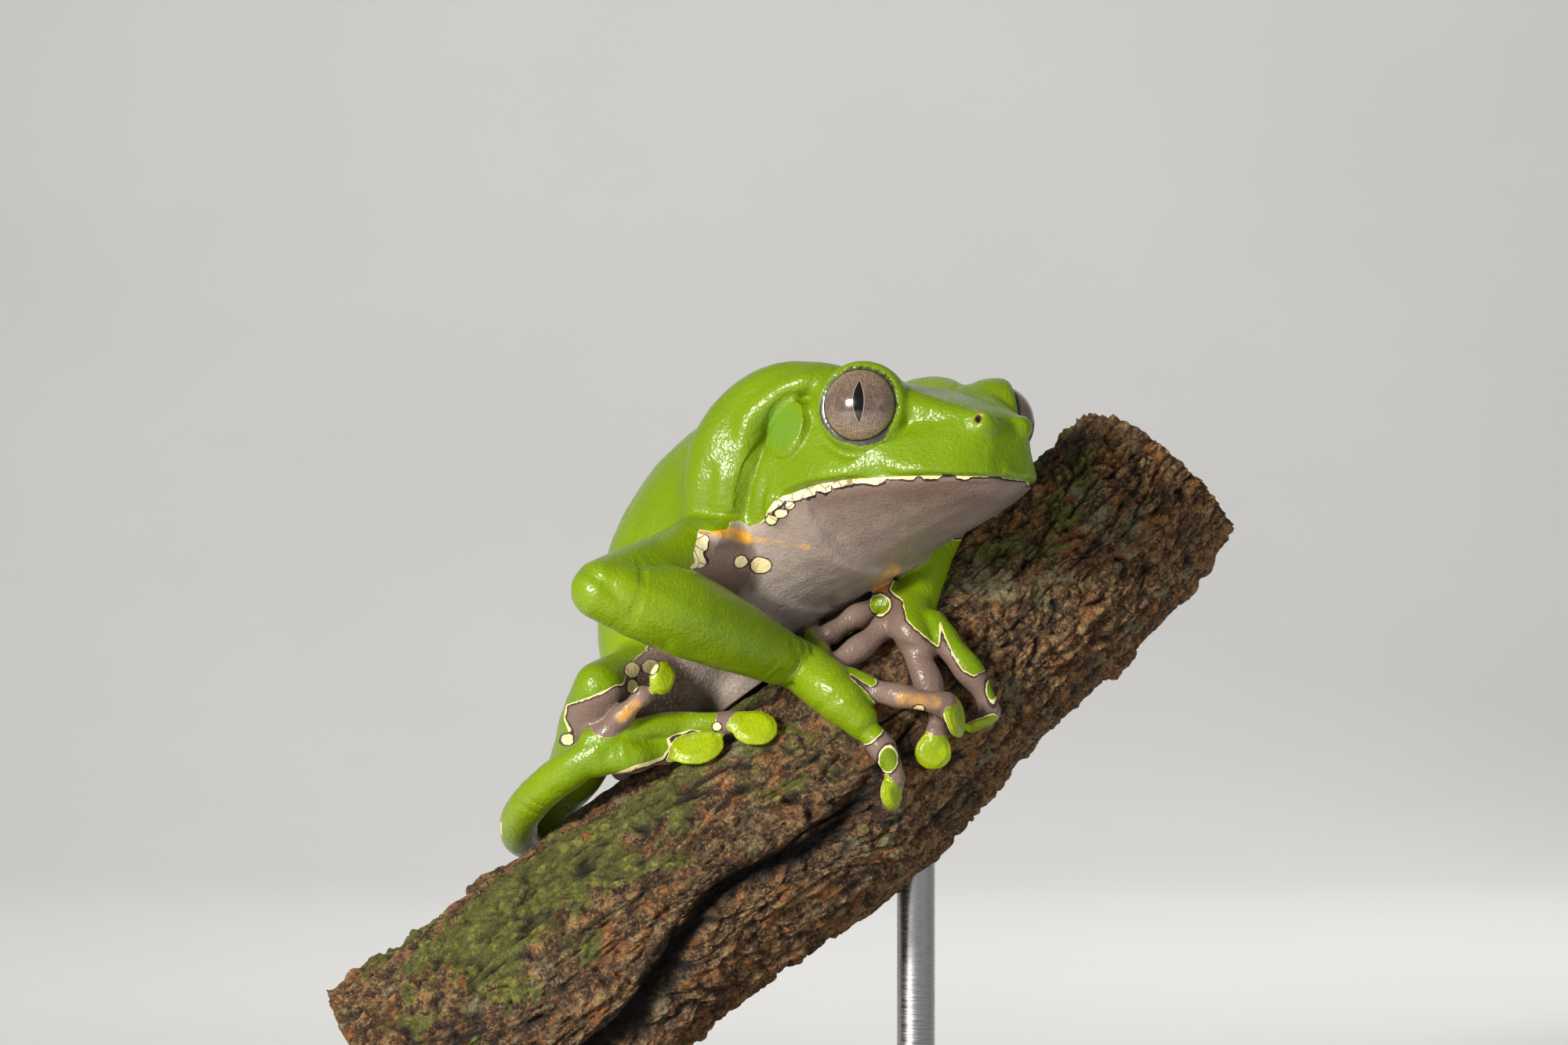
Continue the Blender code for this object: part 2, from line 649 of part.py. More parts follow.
def along_line(points, line):
    """Distance from each point to a broken line, and the side it lies on (+1 is left)."""
    best = np.full(len(points), 1e9)
    side = np.ones(len(points))
    for one, two in zip(line[:-1], line[1:]):
        run = two - one
        t = np.clip((points - one) @ run / (run @ run), 0.0, 1.0)
        off = points - one - t[:, None] * run
        away = np.linalg.norm(off, axis=1)
        nearer = away < best
        best = np.where(nearer, away, best)
        turn = run[0] * off[:, 1] - run[1] * off[:, 0]
        side = np.where(nearer, np.sign(turn), side)
    return best, side


def head_relief(co, no):
    """How far each point of the head moves outward, for the folds round eye and ear."""
    back = np.array(HEAD.inverted())
    local = co @ back[:3, :3].T + back[:3, 3]
    facing = no @ back[:3, :3].T
    move = np.zeros(len(co))
    flat = local[:, [0, 2]]
    beside = smooth_step(8.5, 11.5, np.abs(local[:, 1])) * smooth_step(0.0, 0.35, np.abs(facing[:, 1]))
    # Fold where the gland hangs over the ear
    away, side = along_line(flat, spline(EAR_FOLD, 4))
    ends = smooth_step(-21.0, -24.0, flat[:, 0]) * smooth_step(-6.0, -2.0, flat[:, 1])
    lift = np.where(side < 0, 0.9 * np.exp(-((away - 1.4) / 1.6) ** 2), -0.75 * np.exp(-(away / 1.1) ** 2))
    move += lift * beside * ends
    # Ear drum, flat with a groove round it
    off = (flat - np.array((TYMPANUM.x, TYMPANUM.z))) / np.array((1.08, 1.0))
    reach = np.linalg.norm(off, axis=1)
    before = np.where(side < 0, 0.25, 1.0)
    move += beside * before * 0.45 * smooth_step(TYMPANUM_R, TYMPANUM_R - 0.7, reach)
    move -= beside * before * 0.4 * np.exp(-((reach - TYMPANUM_R - 0.15) / 0.35) ** 2)
    # Groove below the eye
    for sign in (1, -1):
        centre = np.array(eye_centre(sign))
        axis = np.array(eye_axis(sign))
        off = local - centre
        depth = off @ axis
        out = off - depth[:, None] * axis
        radius = np.linalg.norm(out, axis=1)
        low = smooth_step(0.5, -2.5, out[:, 2]) * smooth_step(-2.0, 1.0, depth)
        move -= 0.5 * low * np.exp(-((radius - LID_R - 0.5) / 0.5) ** 2)
    return move


def carved(ob, relief):
    """Move every vertex along its normal by what relief says."""
    count = len(ob.data.vertices)
    co = np.empty(count * 3)
    no = np.empty(count * 3)
    ob.data.vertices.foreach_get("co", co)
    ob.data.vertices.foreach_get("normal", no)
    co = co.reshape(-1, 3)
    no = no.reshape(-1, 3)
    co += no * relief(co, no)[:, None]
    ob.data.vertices.foreach_set("co", co.ravel())
    ob.data.update()


def flesh(pieces, triangles, relief=None):
    """Fuse closed pieces into one smooth skin, and carve it."""
    ob = make_object("flesh", merged(pieces), WORK)
    add_modifier(ob, "REMESH", mode="VOXEL", voxel_size=VOXEL, adaptivity=0.0)
    applied(ob)
    add_modifier(ob, "SMOOTH", factor=0.5, iterations=5)
    applied(ob)
    if relief:
        carved(ob, relief)
        add_modifier(ob, "SMOOTH", factor=0.5, iterations=2)
        applied(ob)
    add_modifier(ob, "DECIMATE", ratio=min(1.0, triangles / (2 * len(ob.data.polygons))))
    return applied(ob)


def part_off(ob, cut, keep_before):
    """Remove what lies past a cut, or before it, as far as the cut's reach."""
    centre, facing, reach = CUTS[cut]
    axis = Vector(facing).normalized()
    if not keep_before:
        axis = -axis
    long = reach * 2.4
    bm = bmesh.new()
    bmesh.ops.create_cone(bm, cap_ends=True, segments=24, radius1=reach, radius2=reach, depth=long)
    turn = axis.to_track_quat("Z", "Y").to_matrix().to_4x4()
    bm.transform(Matrix.Translation(Vector(centre) + axis * (long / 2 - GAP / 2)) @ turn)
    block = make_object("block", bm, CUTTERS)
    boolean(ob, block)
    bpy.data.objects.remove(block)


def largest_only(ob, name, mat):
    shells = largest_shells(ob)
    kept = keep_faces(ob, shells[0], "kept", PARTS, mat)
    bpy.data.objects.remove(ob)
    kept.name = name
    kept.data.name = name
    return kept


def grown_copy(ob, extra):
    """A cutter in the shape of a node, with every vertex moved outward."""
    bm = bmesh.new()
    bm.from_mesh(ob.data)
    bm.normal_update()
    moves = [v.normal * extra for v in bm.verts]
    for vert, move in zip(bm.verts, moves):
        vert.co += move
    return make_object("grown", bm, CUTTERS)


def socket_cutters(sign):
    """The eyeball with its gap, and the round opening between the lids."""
    axis = HEAD.to_3x3() @ eye_axis(sign)
    centre = HEAD @ eye_centre(sign)
    bm = bmesh.new()
    bmesh.ops.create_cone(bm, cap_ends=True, segments=36, radius1=IRIS_R, radius2=IRIS_R + 0.5, depth=6.0)
    turn = axis.to_track_quat("Z", "Y").to_matrix().to_4x4()
    bm.transform(Matrix.Translation(centre + axis * 5.0) @ turn)
    opening = make_object("opening", bm, CUTTERS)
    bm = bmesh.new()
    bmesh.ops.create_uvsphere(bm, u_segments=24, v_segments=13, radius=EYE_R + GAP)
    bm.transform(Matrix.Translation(centre) @ turn)
    return [opening, make_object("socket", bm, CUTTERS)]


def eyeball(name, sign):
    axis = HEAD.to_3x3() @ eye_axis(sign)
    turn = axis.to_track_quat("Z", "Y").to_matrix().to_4x4()
    bm = bmesh.new()
    bmesh.ops.create_uvsphere(bm, u_segments=22, v_segments=12, radius=EYE_R)
    bm.transform(Matrix.Translation(HEAD @ eye_centre(sign)) @ turn)
    ob = make_object(name, bm, PARTS, EYE)
    return ob


def mouth_cutter():
    """The groove between the lips, from one corner of the jaw to the other."""
    half = [(*on_head(x, w, z), 0.42) for x, w, z in MOUTH]
    other = [(*on_head(x, -w, z), 0.42) for x, w, z in MOUTH[1:]]
    bm = tube(list(reversed(half)) + other, sides=8, steps=2)
    return make_object("mouth", bm, CUTTERS)


def nostril_cutter(sign):
    facing = Vector((0.25, 0.85 * sign, 0.35)).normalized()
    nose = Vector((NOSTRIL.x, sign * NOSTRIL.y, NOSTRIL.z))
    bm = bmesh.new()
    bmesh.ops.create_uvsphere(bm, u_segments=10, v_segments=7, radius=0.55)
    bm.transform(Matrix.Translation(HEAD @ (nose + facing * 1.7)))
    return make_object("nostril", bm, CUTTERS)


# Perch and stand

def perch_shape(extra=0.0, sides=28):
    """The branch as a loft with low ridges and burrs, grown by extra."""
    rows = spline(PERCH, 4)
    count = len(rows)
    rings = []
    for i in range(count):
        before = Vector(rows[max(i - 1, 0)][:3])
        after = Vector(rows[min(i + 1, count - 1)][:3])
        ahead = (after - before).normalized()
        side = Vector((0, 0, 1)).cross(ahead).normalized()
        top = ahead.cross(side)
        t = i / (count - 1)
        middle = Vector(rows[i][:3])
        if extra and i in (0, count - 1):
            middle += ahead * (extra if i else -extra)
        ring = []
        for k in range(sides):
            u = 2 * math.pi * k / sides
            bark = 0.3 * math.sin(3 * u + 5 * t) + 0.25 * math.sin(7 * u + 9 * t)
            bark += 0.25 * math.sin(39 * t + 2 * u)
            bark -= 1.4 * math.exp(-((u - 3.35) / 0.2) ** 2)
            size = rows[i][3] + bark + extra
            ring.append(middle + side * math.cos(u) * size + top * math.sin(u) * size)
        rings.append(ring)
    return finished(skin_rings(bmesh.new(), rings))


def rod_top(x):
    """Where a rod at x meets the middle line of the branch."""
    rows = spline(PERCH, 12)
    row = min(rows, key=lambda r: abs(r[0] - x))
    return float(row[1]), float(row[2])


def stand():
    bm = bmesh.new()
    bmesh.ops.create_cube(bm, size=1.0)
    bm.transform(Matrix.Translation((0, 0, BASE_SIZE[2] / 2)) @ Matrix.Diagonal((*BASE_SIZE, 1.0)))
    upright = [e for e in bm.edges if abs((e.verts[0].co - e.verts[1].co).z) > 1.0]
    bmesh.ops.bevel(bm, geom=upright, offset=14.0, segments=6, affect="EDGES", profile=0.5)
    base = make_object("stand_base", bm, PARTS, WOOD)
    add_modifier(base, "BEVEL", width=1.4, segments=2, limit_method="ANGLE")
    applied(base)
    grown = make_object("grown", perch_shape(GAP), CUTTERS)
    rods = []
    for name, x in zip(("stand_rod_low", "stand_rod_high"), ROD_X):
        y, high = rod_top(x)
        low = BASE_SIZE[2] + GAP
        bm = bmesh.new()
        bmesh.ops.create_cone(
            bm, cap_ends=True, segments=28, radius1=ROD_R, radius2=ROD_R, depth=high - low,
        )
        bm.transform(Matrix.Translation((x, y, (high + low) / 2)))
        rod = make_object(name, bm, PARTS, STEEL)
        boolean(rod, grown)
        shells = largest_shells(rod)
        kept = keep_faces(rod, shells[0], "kept", PARTS, STEEL)
        bpy.data.objects.remove(rod)
        kept.name = name
        rods.append(kept)
    bpy.data.objects.remove(grown)
    return [base] + rods


def scaled_to_metres(obs):
    for ob in obs:
        ob.data.transform(Matrix.Scale(MM, 4))
        ob.data.update()


def shaded(ob, angle=40.0):
    ob.data.shade_smooth()
    ob.data.set_sharp_from_angle(angle=math.radians(angle))


clear_scene()
PARTS = collection("giant_monkey_frog")
CUTTERS = collection("cutters")
WORK = collection("work")
GREEN = material("green skin", (0.16, 0.42, 0.02), 0.35)
EYE = material("eye", (0.12, 0.09, 0.07), 0.12)
BARK = material("bark", (0.16, 0.08, 0.035), 0.8)
WOOD = material("base wood", (0.05, 0.03, 0.02), 0.45)
STEEL = material("rod steel", (0.55, 0.55, 0.56), 0.3, 1.0)


def cut_from(ob, cutters):
    for cutter in cutters:
        boolean(ob, cutter)
        bpy.data.objects.remove(cutter)


# Where skin is pressed in: the node that gives way, the node that presses
PRESSED = (
    ("head", "forearm_l"), ("torso", "forearm_l"), ("torso", "hand_r"), ("torso", "foot_r"),
    ("torso", "foot_l"), ("shank_r", "foot_r"), ("thigh_r", "foot_r"), ("hand_l", "hand_r"),
)


# Node: its pieces, triangles, its cuts, and whether it lies before them
def flesh_nodes():
    return {
        "head": (lambda: head_pieces() + [trunk()], 2780, ["neck"], False),
        "torso": (
            lambda: head_pieces() + [trunk(), arms()[0], arms()[2], legs()[0], legs()[2]] + belly(),
            2180, ["shoulder_r", "shoulder_l", "hip_r", "hip_l"], True,
        ),
        "upper_arm_r": (lambda: arms()[:1], 1000, ["elbow_r"], True),
        "forearm_r": (lambda: arms()[1:2] + hands_r()[:1], 860, ["wrist_r"], True),
        "hand_r": (lambda: arms()[1:2] + hands_r(), 1500, [], True),
        "upper_arm_l": (lambda: arms()[2:3], 800, ["elbow_l"], True),
        "forearm_l": (lambda: arms()[3:] + hands_l()[:1], 900, ["wrist_l"], True),
        "hand_l": (lambda: arms()[3:] + hands_l(), 1380, [], True),
        "thigh_r": (lambda: legs()[:1], 900, ["knee_r"], True),
        "shank_r": (lambda: legs()[1:2], 600, ["ankle_r"], True),
        "foot_r": (feet_r, 1000, [], True),
        "thigh_l": (lambda: legs()[2:3], 900, ["knee_l"], True),
        "shank_l": (lambda: legs()[3:], 600, ["ankle_l"], True),
        "foot_l": (feet_l, 920, [], True),
    }


# The cut behind which each node starts
STARTS = {
    "torso": "neck", "upper_arm_r": "shoulder_r", "forearm_r": "elbow_r", "hand_r": "wrist_r",
    "upper_arm_l": "shoulder_l", "forearm_l": "elbow_l", "hand_l": "wrist_l",
    "thigh_r": "hip_r", "shank_r": "knee_r", "foot_r": "ankle_r",
    "thigh_l": "hip_l", "shank_l": "knee_l", "foot_l": "ankle_l",
}


def main():
    made = []
    for name, (pieces, triangles, cuts, before) in flesh_nodes().items():
        ob = flesh(pieces(), triangles, head_relief if name in ("head", "torso") else None)
        for cut in cuts:
            part_off(ob, cut, before)
        if name in STARTS:
            part_off(ob, STARTS[name], name == "torso")
        if name == "head":
            cut_from(ob, [nostril_cutter(1), nostril_cutter(-1), mouth_cutter()])
            cut_from(ob, socket_cutters(1) + socket_cutters(-1))
        cut_from(ob, [make_object("grown", perch_shape(GAP), CUTTERS)])
        made.append(largest_only(ob, name, GREEN))
    nodes = {ob.name: ob for ob in made}
    for soft, hard in PRESSED:
        cut_from(nodes[soft], [grown_copy(nodes[hard], GAP)])
        nodes[soft] = largest_only(nodes[soft], soft, GREEN)
    made = list(nodes.values())
    made += [eyeball("eye_r", 1), eyeball("eye_l", -1)]
    made.append(make_object("perch", perch_shape(), PARTS, BARK))
    made += stand()
    scaled_to_metres(made)
    for ob in made:
        shaded(ob)
        tris = sum(len(p.vertices) - 2 for p in ob.data.polygons)
        print(f"{ob.name}: {tris} triangles")


main()
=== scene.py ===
"""Giant monkey frog gripping a cut length of mossy branch, on a plain display stand.

One wet skin covers the whole body. Sizes below are in millimetres unless a name says
otherwise, and everything is brought to metres when its mesh is made.
"""

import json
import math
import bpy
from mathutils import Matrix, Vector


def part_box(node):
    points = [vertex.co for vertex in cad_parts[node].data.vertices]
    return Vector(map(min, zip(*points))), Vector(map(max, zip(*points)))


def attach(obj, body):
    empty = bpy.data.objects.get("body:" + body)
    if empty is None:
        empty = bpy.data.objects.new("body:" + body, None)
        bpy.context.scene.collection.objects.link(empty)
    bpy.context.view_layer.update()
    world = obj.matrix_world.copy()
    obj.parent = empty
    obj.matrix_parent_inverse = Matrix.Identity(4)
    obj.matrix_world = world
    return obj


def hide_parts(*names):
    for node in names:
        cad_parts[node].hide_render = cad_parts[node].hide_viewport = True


bl_info = {
    "name": "Giant Monkey Frog",
    "version": (1, 0, 0),
    "blender": (4, 5, 0),
    "location": "View3D > Sidebar > Frog",
    "description": "Builds a life-size frog on a branch, with its stand and studio",
    "category": "Add Mesh",
}

import bmesh
import bpy
import numpy as np
from bpy.props import FloatProperty, FloatVectorProperty, IntProperty, PointerProperty
from mathutils import Matrix, Vector, noise
from mathutils.kdtree import KDTree

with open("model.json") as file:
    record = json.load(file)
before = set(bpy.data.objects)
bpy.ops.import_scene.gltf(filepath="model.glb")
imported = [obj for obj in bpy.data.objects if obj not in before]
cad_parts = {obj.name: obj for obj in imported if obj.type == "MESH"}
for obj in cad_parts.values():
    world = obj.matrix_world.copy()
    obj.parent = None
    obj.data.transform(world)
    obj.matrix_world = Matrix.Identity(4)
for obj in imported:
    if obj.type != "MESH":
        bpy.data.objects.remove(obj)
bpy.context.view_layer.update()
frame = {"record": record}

MM = 0.001
FLESH = [name for name, slot in (
    (part["node"], part["material_slot"]) for part in frame["record"]["subparts"]
) if slot == "skin"]

# Place and pose of the head
HEADING = 47.0
PITCH = -4.0
ROLL = 3.5
SNOUT = Vector((29.3, -22.9, 111.2))
EYE_BACK = 14.8
EYE_SIDE = 12.3
EYE_UP = 8.9
EYE_R = 5.2
EYE_TURN = 55.0
EYE_LIFT = 3.0
LID_R = 6.05
# Half angle of the lids' opening, and the skin's distance from the eye's centre inside and outside it
OPENING = 64.7
LID_FOOT = 4.45
LID_RISE = 1.3
LID_SWELL = 0.3
PUPIL_SHIFT = 0.08
NOSTRIL = Vector((-2.0, 3.0, 6.2))
NOSTRIL_R = 1.7
NOSTRIL_LONG = 1.35
TYMPANUM = Vector((-26.0, 14.9, 7.2))
TYMPANUM_R = 3.6
EAR_OUT = 15.75
EAR_TILT = -14.0
# Fold between the gland and the ear: ahead of the snout, above the mouth
EAR_FOLD = (
    (-21.5, 11.6), (-25.5, 10.6), (-28.8, 8.0), (-30.2, 5.0), (-30.8, 2.4), (-32.2, -1.0), (-33.2, -4.5),
)

# Middle line and radius of the branch, from its low end
PERCH = (
    (-51.0, -4.0, 27.6, 18.6),
    (-36.1, -3.0, 37.4, 18.3),
    (-14.8, -1.5, 54.8, 17.4),
    (6.6, 3.5, 69.5, 16.8),
    (27.3, 14.0, 87.7, 15.6),
    (44.2, 22.0, 102.5, 14.6),
    (52.0, 25.0, 111.5, 14.2),
)

# Bark: how far it lies inside the branch's radius, how far it may rise, and how near the frog it lies low
BARK_INSET = 0.3
BARK_RISE = 1.2
LOW_FROM = 0.7
LOW_FADE = 2.5
# Gap between the skin and the branch's round shape
SKIN_GAP = 0.1
# Cut ends of the branch: rings of faces, and where the wood turns to bark, from the middle
CUT_RINGS = 14
BARK_FROM = 12.2
BARK_TO = 13.6

# Angles in degrees past which an edge is shaded sharp
BARK_SHARP = 55
STAND_SHARP = 35

# Display stand, in metres
BASE_CORNER = 0.014
COLLAR = 0.0012
# Foot of a rod: its radius by the rod's, and its height by the collar's
ROD_FOOT = ((1.9, 0.0), (1.9, 1.0), (1.6, 2.0), (1.05, 2.4), (1.0, 2.8))

# The camera stands level in front, and the photograph is 2000 x 1333
CAMERA_BACK = 505.0
CAMERA_UP = 105.0
LENS = 86.4
SENSOR = 36.0
PHOTO = (2000, 1333)
PX_PER_MM = 10.0
PX_DISTANCE = 480.0


# Sizes and colours that a user can change

def colour(name, value, words):
    return FloatVectorProperty(
        name=name, description=words, default=value, subtype="COLOR", size=3, min=0, max=1,
    )


def power(name, value, words):
    return FloatProperty(name=name, description=words, default=value, min=0, unit="POWER")


class FROG_PG_skin(bpy.types.PropertyGroup):
    voxel: FloatProperty(
        name="Skin fineness", description="Edge of the skin's faces, in mm", default=0.3, min=0.2, max=1.0,
    )
    green: colour("Green", (0.165, 0.255, 0.0003), "Leaf green of the back")
    lime: colour("Lime", (0.29, 0.375, 0.001), "Yellow-green of flanks and finger discs")
    grey: colour("Grey", (0.42, 0.355, 0.31), "Grey of the throat and belly")
    dusk: colour("Dusk", (0.175, 0.115, 0.09), "Brown-grey of fingers and toes")
    cream: colour("Cream", (0.82, 0.66, 0.28), "Cream of the lip band and spots")
    outline: colour("Outline", (0.012, 0.005, 0.005), "Dark line round every marking")
    orange: colour("Orange", (0.80, 0.38, 0.03), "Orange of armpit and groin")


class FROG_PG_eye(bpy.types.PropertyGroup):
    radius: FloatProperty(
        name="Eyeball radius", description="Radius of the eyeball, in metres", default=EYE_R * MM,
        min=0.003, max=0.008, unit="LENGTH", precision=5,
    )
    iris: colour("Iris", (0.25, 0.175, 0.125), "Taupe of the iris")
    gold: colour("Iris gold", (0.40, 0.29, 0.17), "Gold towards the rim of the iris")


class FROG_PG_perch(bpy.types.PropertyGroup):
    around: IntProperty(
        name="Faces around", description="Faces round the branch", default=420, min=60, max=800,
    )
    along: IntProperty(
        name="Faces along", description="Faces along the branch", default=460, min=60, max=800,
    )
    bark: colour("Bark", (0.27, 0.105, 0.035), "Rust brown of the bark")
    flake: colour("Flakes", (0.46, 0.29, 0.12), "Tan of the bark's loose flakes")
    moss: colour("Moss", (0.24, 0.255, 0.045), "Green of the moss")
    lichen: colour("Lichen", (0.31, 0.31, 0.17), "Pale grey-green of the lichen")


class FROG_PG_stand(bpy.types.PropertyGroup):
    edge: FloatProperty(
        name="Edge round", description="Rounding of the base's top edge, in metres", default=0.0016,
        min=0.0, max=0.004, unit="LENGTH", precision=5,
    )
    rod: FloatProperty(
        name="Rod radius", description="Radius of the rods, in metres", default=0.0026,
        min=0.001, max=0.004, unit="LENGTH", precision=5,
    )
    wood: colour("Base wood", (0.045, 0.022, 0.012), "Dark stained wood of the base")


class FROG_PG_stage(bpy.types.PropertyGroup):
    key: power("Key light", 7.2, "Power of the main light, in watts")
    fill: power("Fill light", 1.5, "Power of the fill and back lights, in watts")
    floor: colour("Floor", (0.66, 0.65, 0.635), "Pale floor and backdrop")


class FROG_PG_settings(bpy.types.PropertyGroup):
    skin: PointerProperty(type=FROG_PG_skin)
    eye: PointerProperty(type=FROG_PG_eye)
    perch: PointerProperty(type=FROG_PG_perch)
    stand: PointerProperty(type=FROG_PG_stand)
    stage: PointerProperty(type=FROG_PG_stage)


# Meshes and objects

def make_object(name, bm, scale=1.0):
    mesh = bpy.data.meshes.new(name)
    bm.to_mesh(mesh)
    bm.free()
    if scale != 1.0:
        mesh.transform(Matrix.Scale(scale, 4))
    ob = bpy.data.objects.new(name, mesh)
    bpy.context.scene.collection.objects.link(ob)
    return ob


def applied(ob):
    """Replace an object's mesh by its evaluated mesh and drop its modifiers."""
    graph = bpy.context.evaluated_depsgraph_get()
    old = ob.data
    mesh = bpy.data.meshes.new_from_object(ob.evaluated_get(graph))
    ob.modifiers.clear()
    ob.data = mesh
    mesh.name = ob.name
    bpy.data.meshes.remove(old)
    return ob


def add_modifier(ob, kind, **values):
    made = ob.modifiers.new(kind.title(), kind)
    for key, value in values.items():
        setattr(made, key, value)
    return made


def merged(pieces):
    whole = bmesh.new()
    for bm in pieces:
        mesh = bpy.data.meshes.new("piece")
        bm.to_mesh(mesh)
        bm.free()
        whole.from_mesh(mesh)
        bpy.data.meshes.remove(mesh)
    return whole


def points_of(mesh, name="co"):
    values = np.empty(len(mesh.vertices) * 3)
    mesh.vertices.foreach_get(name, values)
    return values.reshape(-1, 3)


def move_points(mesh, co):
    mesh.vertices.foreach_set("co", co.ravel())
    mesh.update()


def write_values(mesh, values):
    """Store named values at the mesh's points, for its material to read."""
    for name, value in values.items():
        layer = mesh.attributes.new(name, "FLOAT", "POINT")
        layer.data.foreach_set("value", np.asarray(value, dtype=np.float32))


def smooth_step(low, high, value):
    """From 0 at low to 1 at high, for arrays."""
    t = np.clip((value - low) / (high - low), 0.0, 1.0)
    return t * t * (3 - 2 * t)


def smoothed(low, high, value):
    """From 0 at low to 1 at high, for one number."""
    t = min(1.0, max(0.0, (value - low) / (high - low)))
    return t * t * (3 - 2 * t)


def bell(value, width):
    """From 1 at the middle to 0 far out, for arrays."""
    return np.exp(-(value / width) ** 2)


def hump(value, middle, width):
    """From 1 at the middle to 0 far out, for one number."""
    return math.exp(-((value - middle) / width) ** 2)


# Frames of the head and body

def turned(heading):
    """Forward and right-hand directions of a heading in degrees from +X to -Y."""
    t = math.radians(heading)
    forward = Vector((math.cos(t), -math.sin(t), 0.0))
    right = Vector((-math.sin(t), -math.cos(t), 0.0))
    return forward, right


def head_matrix():
    forward, right = turned(HEADING)
    up = Vector((0.0, 0.0, 1.0))
    flat = Matrix((forward, right, up)).transposed()
    pitch = Matrix.Rotation(math.radians(PITCH), 3, "Y")
    roll = Matrix.Rotation(math.radians(ROLL), 3, "X")
    return Matrix.Translation(SNOUT) @ (flat @ pitch @ roll).to_4x4()


HEAD = head_matrix()


def on_head(a, b, c):
    """A point a ahead of the snout tip, b to the frog's right, c above the mouth."""
    return HEAD @ Vector((a, b, c))


TO_HEAD = np.array(HEAD.inverted())
FROM_HEAD = np.array(HEAD)


def in_head(co):
    """Points of the body, given in the head's own directions."""
    return co @ TO_HEAD[:3, :3].T + TO_HEAD[:3, 3]


def facing_in_head(no):
    """Directions on the body, given in the head's own directions."""
    return no @ TO_HEAD[:3, :3].T


def from_head(local):
    """Points given in the head's own directions, back on the body."""
    return local @ FROM_HEAD[:3, :3].T + FROM_HEAD[:3, 3]


def photo_point(co):
    """Where points appear in the photograph, in its pixels."""
    depth = (co[:, 1] + CAMERA_BACK) / PX_DISTANCE
    across = PHOTO[0] / 2 + co[:, 0] / depth * PX_PER_MM
    down = (PHOTO[1] - 1) / 2 + 1 - (co[:, 2] - CAMERA_UP) / depth * PX_PER_MM
    return np.column_stack((across, down))


# Lofts, tubes and balls

CAP_ANGLES = (12, 40, 68)
TRUNK_SIDES = 36
BALL_FACES = (36, 24)
EYE_FACES = (96, 64)
ROD_SIDES = 64


def spline(points, steps):
    """Catmull-Rom points through rows of numbers, with steps between neighbours."""
    rows = np.array(points, dtype=float)
    out = []
    for i in range(len(rows) - 1):
        before = rows[max(i - 1, 0)]
        after = rows[min(i + 2, len(rows) - 1)]
        for k in range(steps):
            t = k / steps
            out.append(0.5 * (
                2 * rows[i]
                + (rows[i + 1] - before) * t
                + (2 * before - 5 * rows[i] + 4 * rows[i + 1] - after) * t * t
                + (3 * rows[i] - before - 3 * rows[i + 1] + after) * t ** 3
            ))
    out.append(rows[-1])
    return np.array(out)


def skin_rings(bm, rings):
    """Join rings of points, each with as many points, and close both ends."""
    made = [[bm.verts.new(p) for p in ring] for ring in rings]
    n = len(made[0])
    for one, two in zip(made, made[1:]):
        for i in range(n):
            j = (i + 1) % n
            bm.faces.new((one[i], one[j], two[j], two[i]))
    bm.faces.new(list(reversed(made[0])))
    bm.faces.new(made[-1])
    return bm


def finished(bm):
    bmesh.ops.recalc_face_normals(bm, faces=bm.faces)
    return bm


def limb_line(points, steps):
    """Smooth rows of x, y, z, radius and flatness, where flatness is 1 unless it is given."""
    return spline([list(p) + [1.0] * (5 - len(p)) for p in points], steps)


def circle(count):
    """Angles evenly round a ring."""
    return [2 * math.pi * k / count for k in range(count)]


def tube(points, sides=20, steps=5):
    """A round-ended limb through rows of x, y, z, radius and flatness."""
    rows = limb_line(points, steps)
    centres = [Vector(r[:3]) for r in rows]
    rings = []
    axis = Vector((0.3, 0.2, 1.0))
    count = len(rows)
    caps = [(math.cos(math.radians(t)), math.sin(math.radians(t))) for t in CAP_ANGLES]
    for i in range(count):
        ahead = centres[min(i + 1, count - 1)] - centres[max(i - 1, 0)]
        ahead.normalize()
        u = axis - ahead * axis.dot(ahead)
        u.normalize()
        v = ahead.cross(u)
        r = rows[i][3]
        flat = rows[i][4]
        shrinks = [(0.0, 1.0)]
        if i == 0:
            shrinks = [(-along, size) for along, size in caps] + [(0.0, 1.0)]
        if i == count - 1:
            shrinks += list(reversed(caps))
        for along, size in shrinks:
            middle = centres[i] + ahead * along * r * min(flat, 1.0)
            rings.append([
                middle + (u * math.cos(t) * flat + v * math.sin(t)) * r * size for t in circle(sides)
            ])
    return finished(skin_rings(bmesh.new(), rings))


def ball(centre, radii, turn=None):
    bm = bmesh.new()
    bmesh.ops.create_uvsphere(bm, u_segments=BALL_FACES[0], v_segments=BALL_FACES[1], radius=1.0)
    size = Matrix.Diagonal((*radii, 1.0))
    rotation = turn.to_4x4() if turn else Matrix.Identity(4)
    bm.transform(Matrix.Translation(centre) @ rotation @ size)
    return finished(bm)


def facing_frame(facing, along):
    z = Vector(facing).normalized()
    x = Vector(along) - z * Vector(along).dot(z)
    x.normalize()
    return Matrix((x, z.cross(x), z)).transposed()


def pad(centre, facing, radius, thick, long=1.0, along=(0, 0, 1)):
    """A finger or toe disc: a flat ball that faces one way."""
    return ball(Vector(centre), (radius * long, radius, thick), facing_frame(facing, along))


# Places on the bark

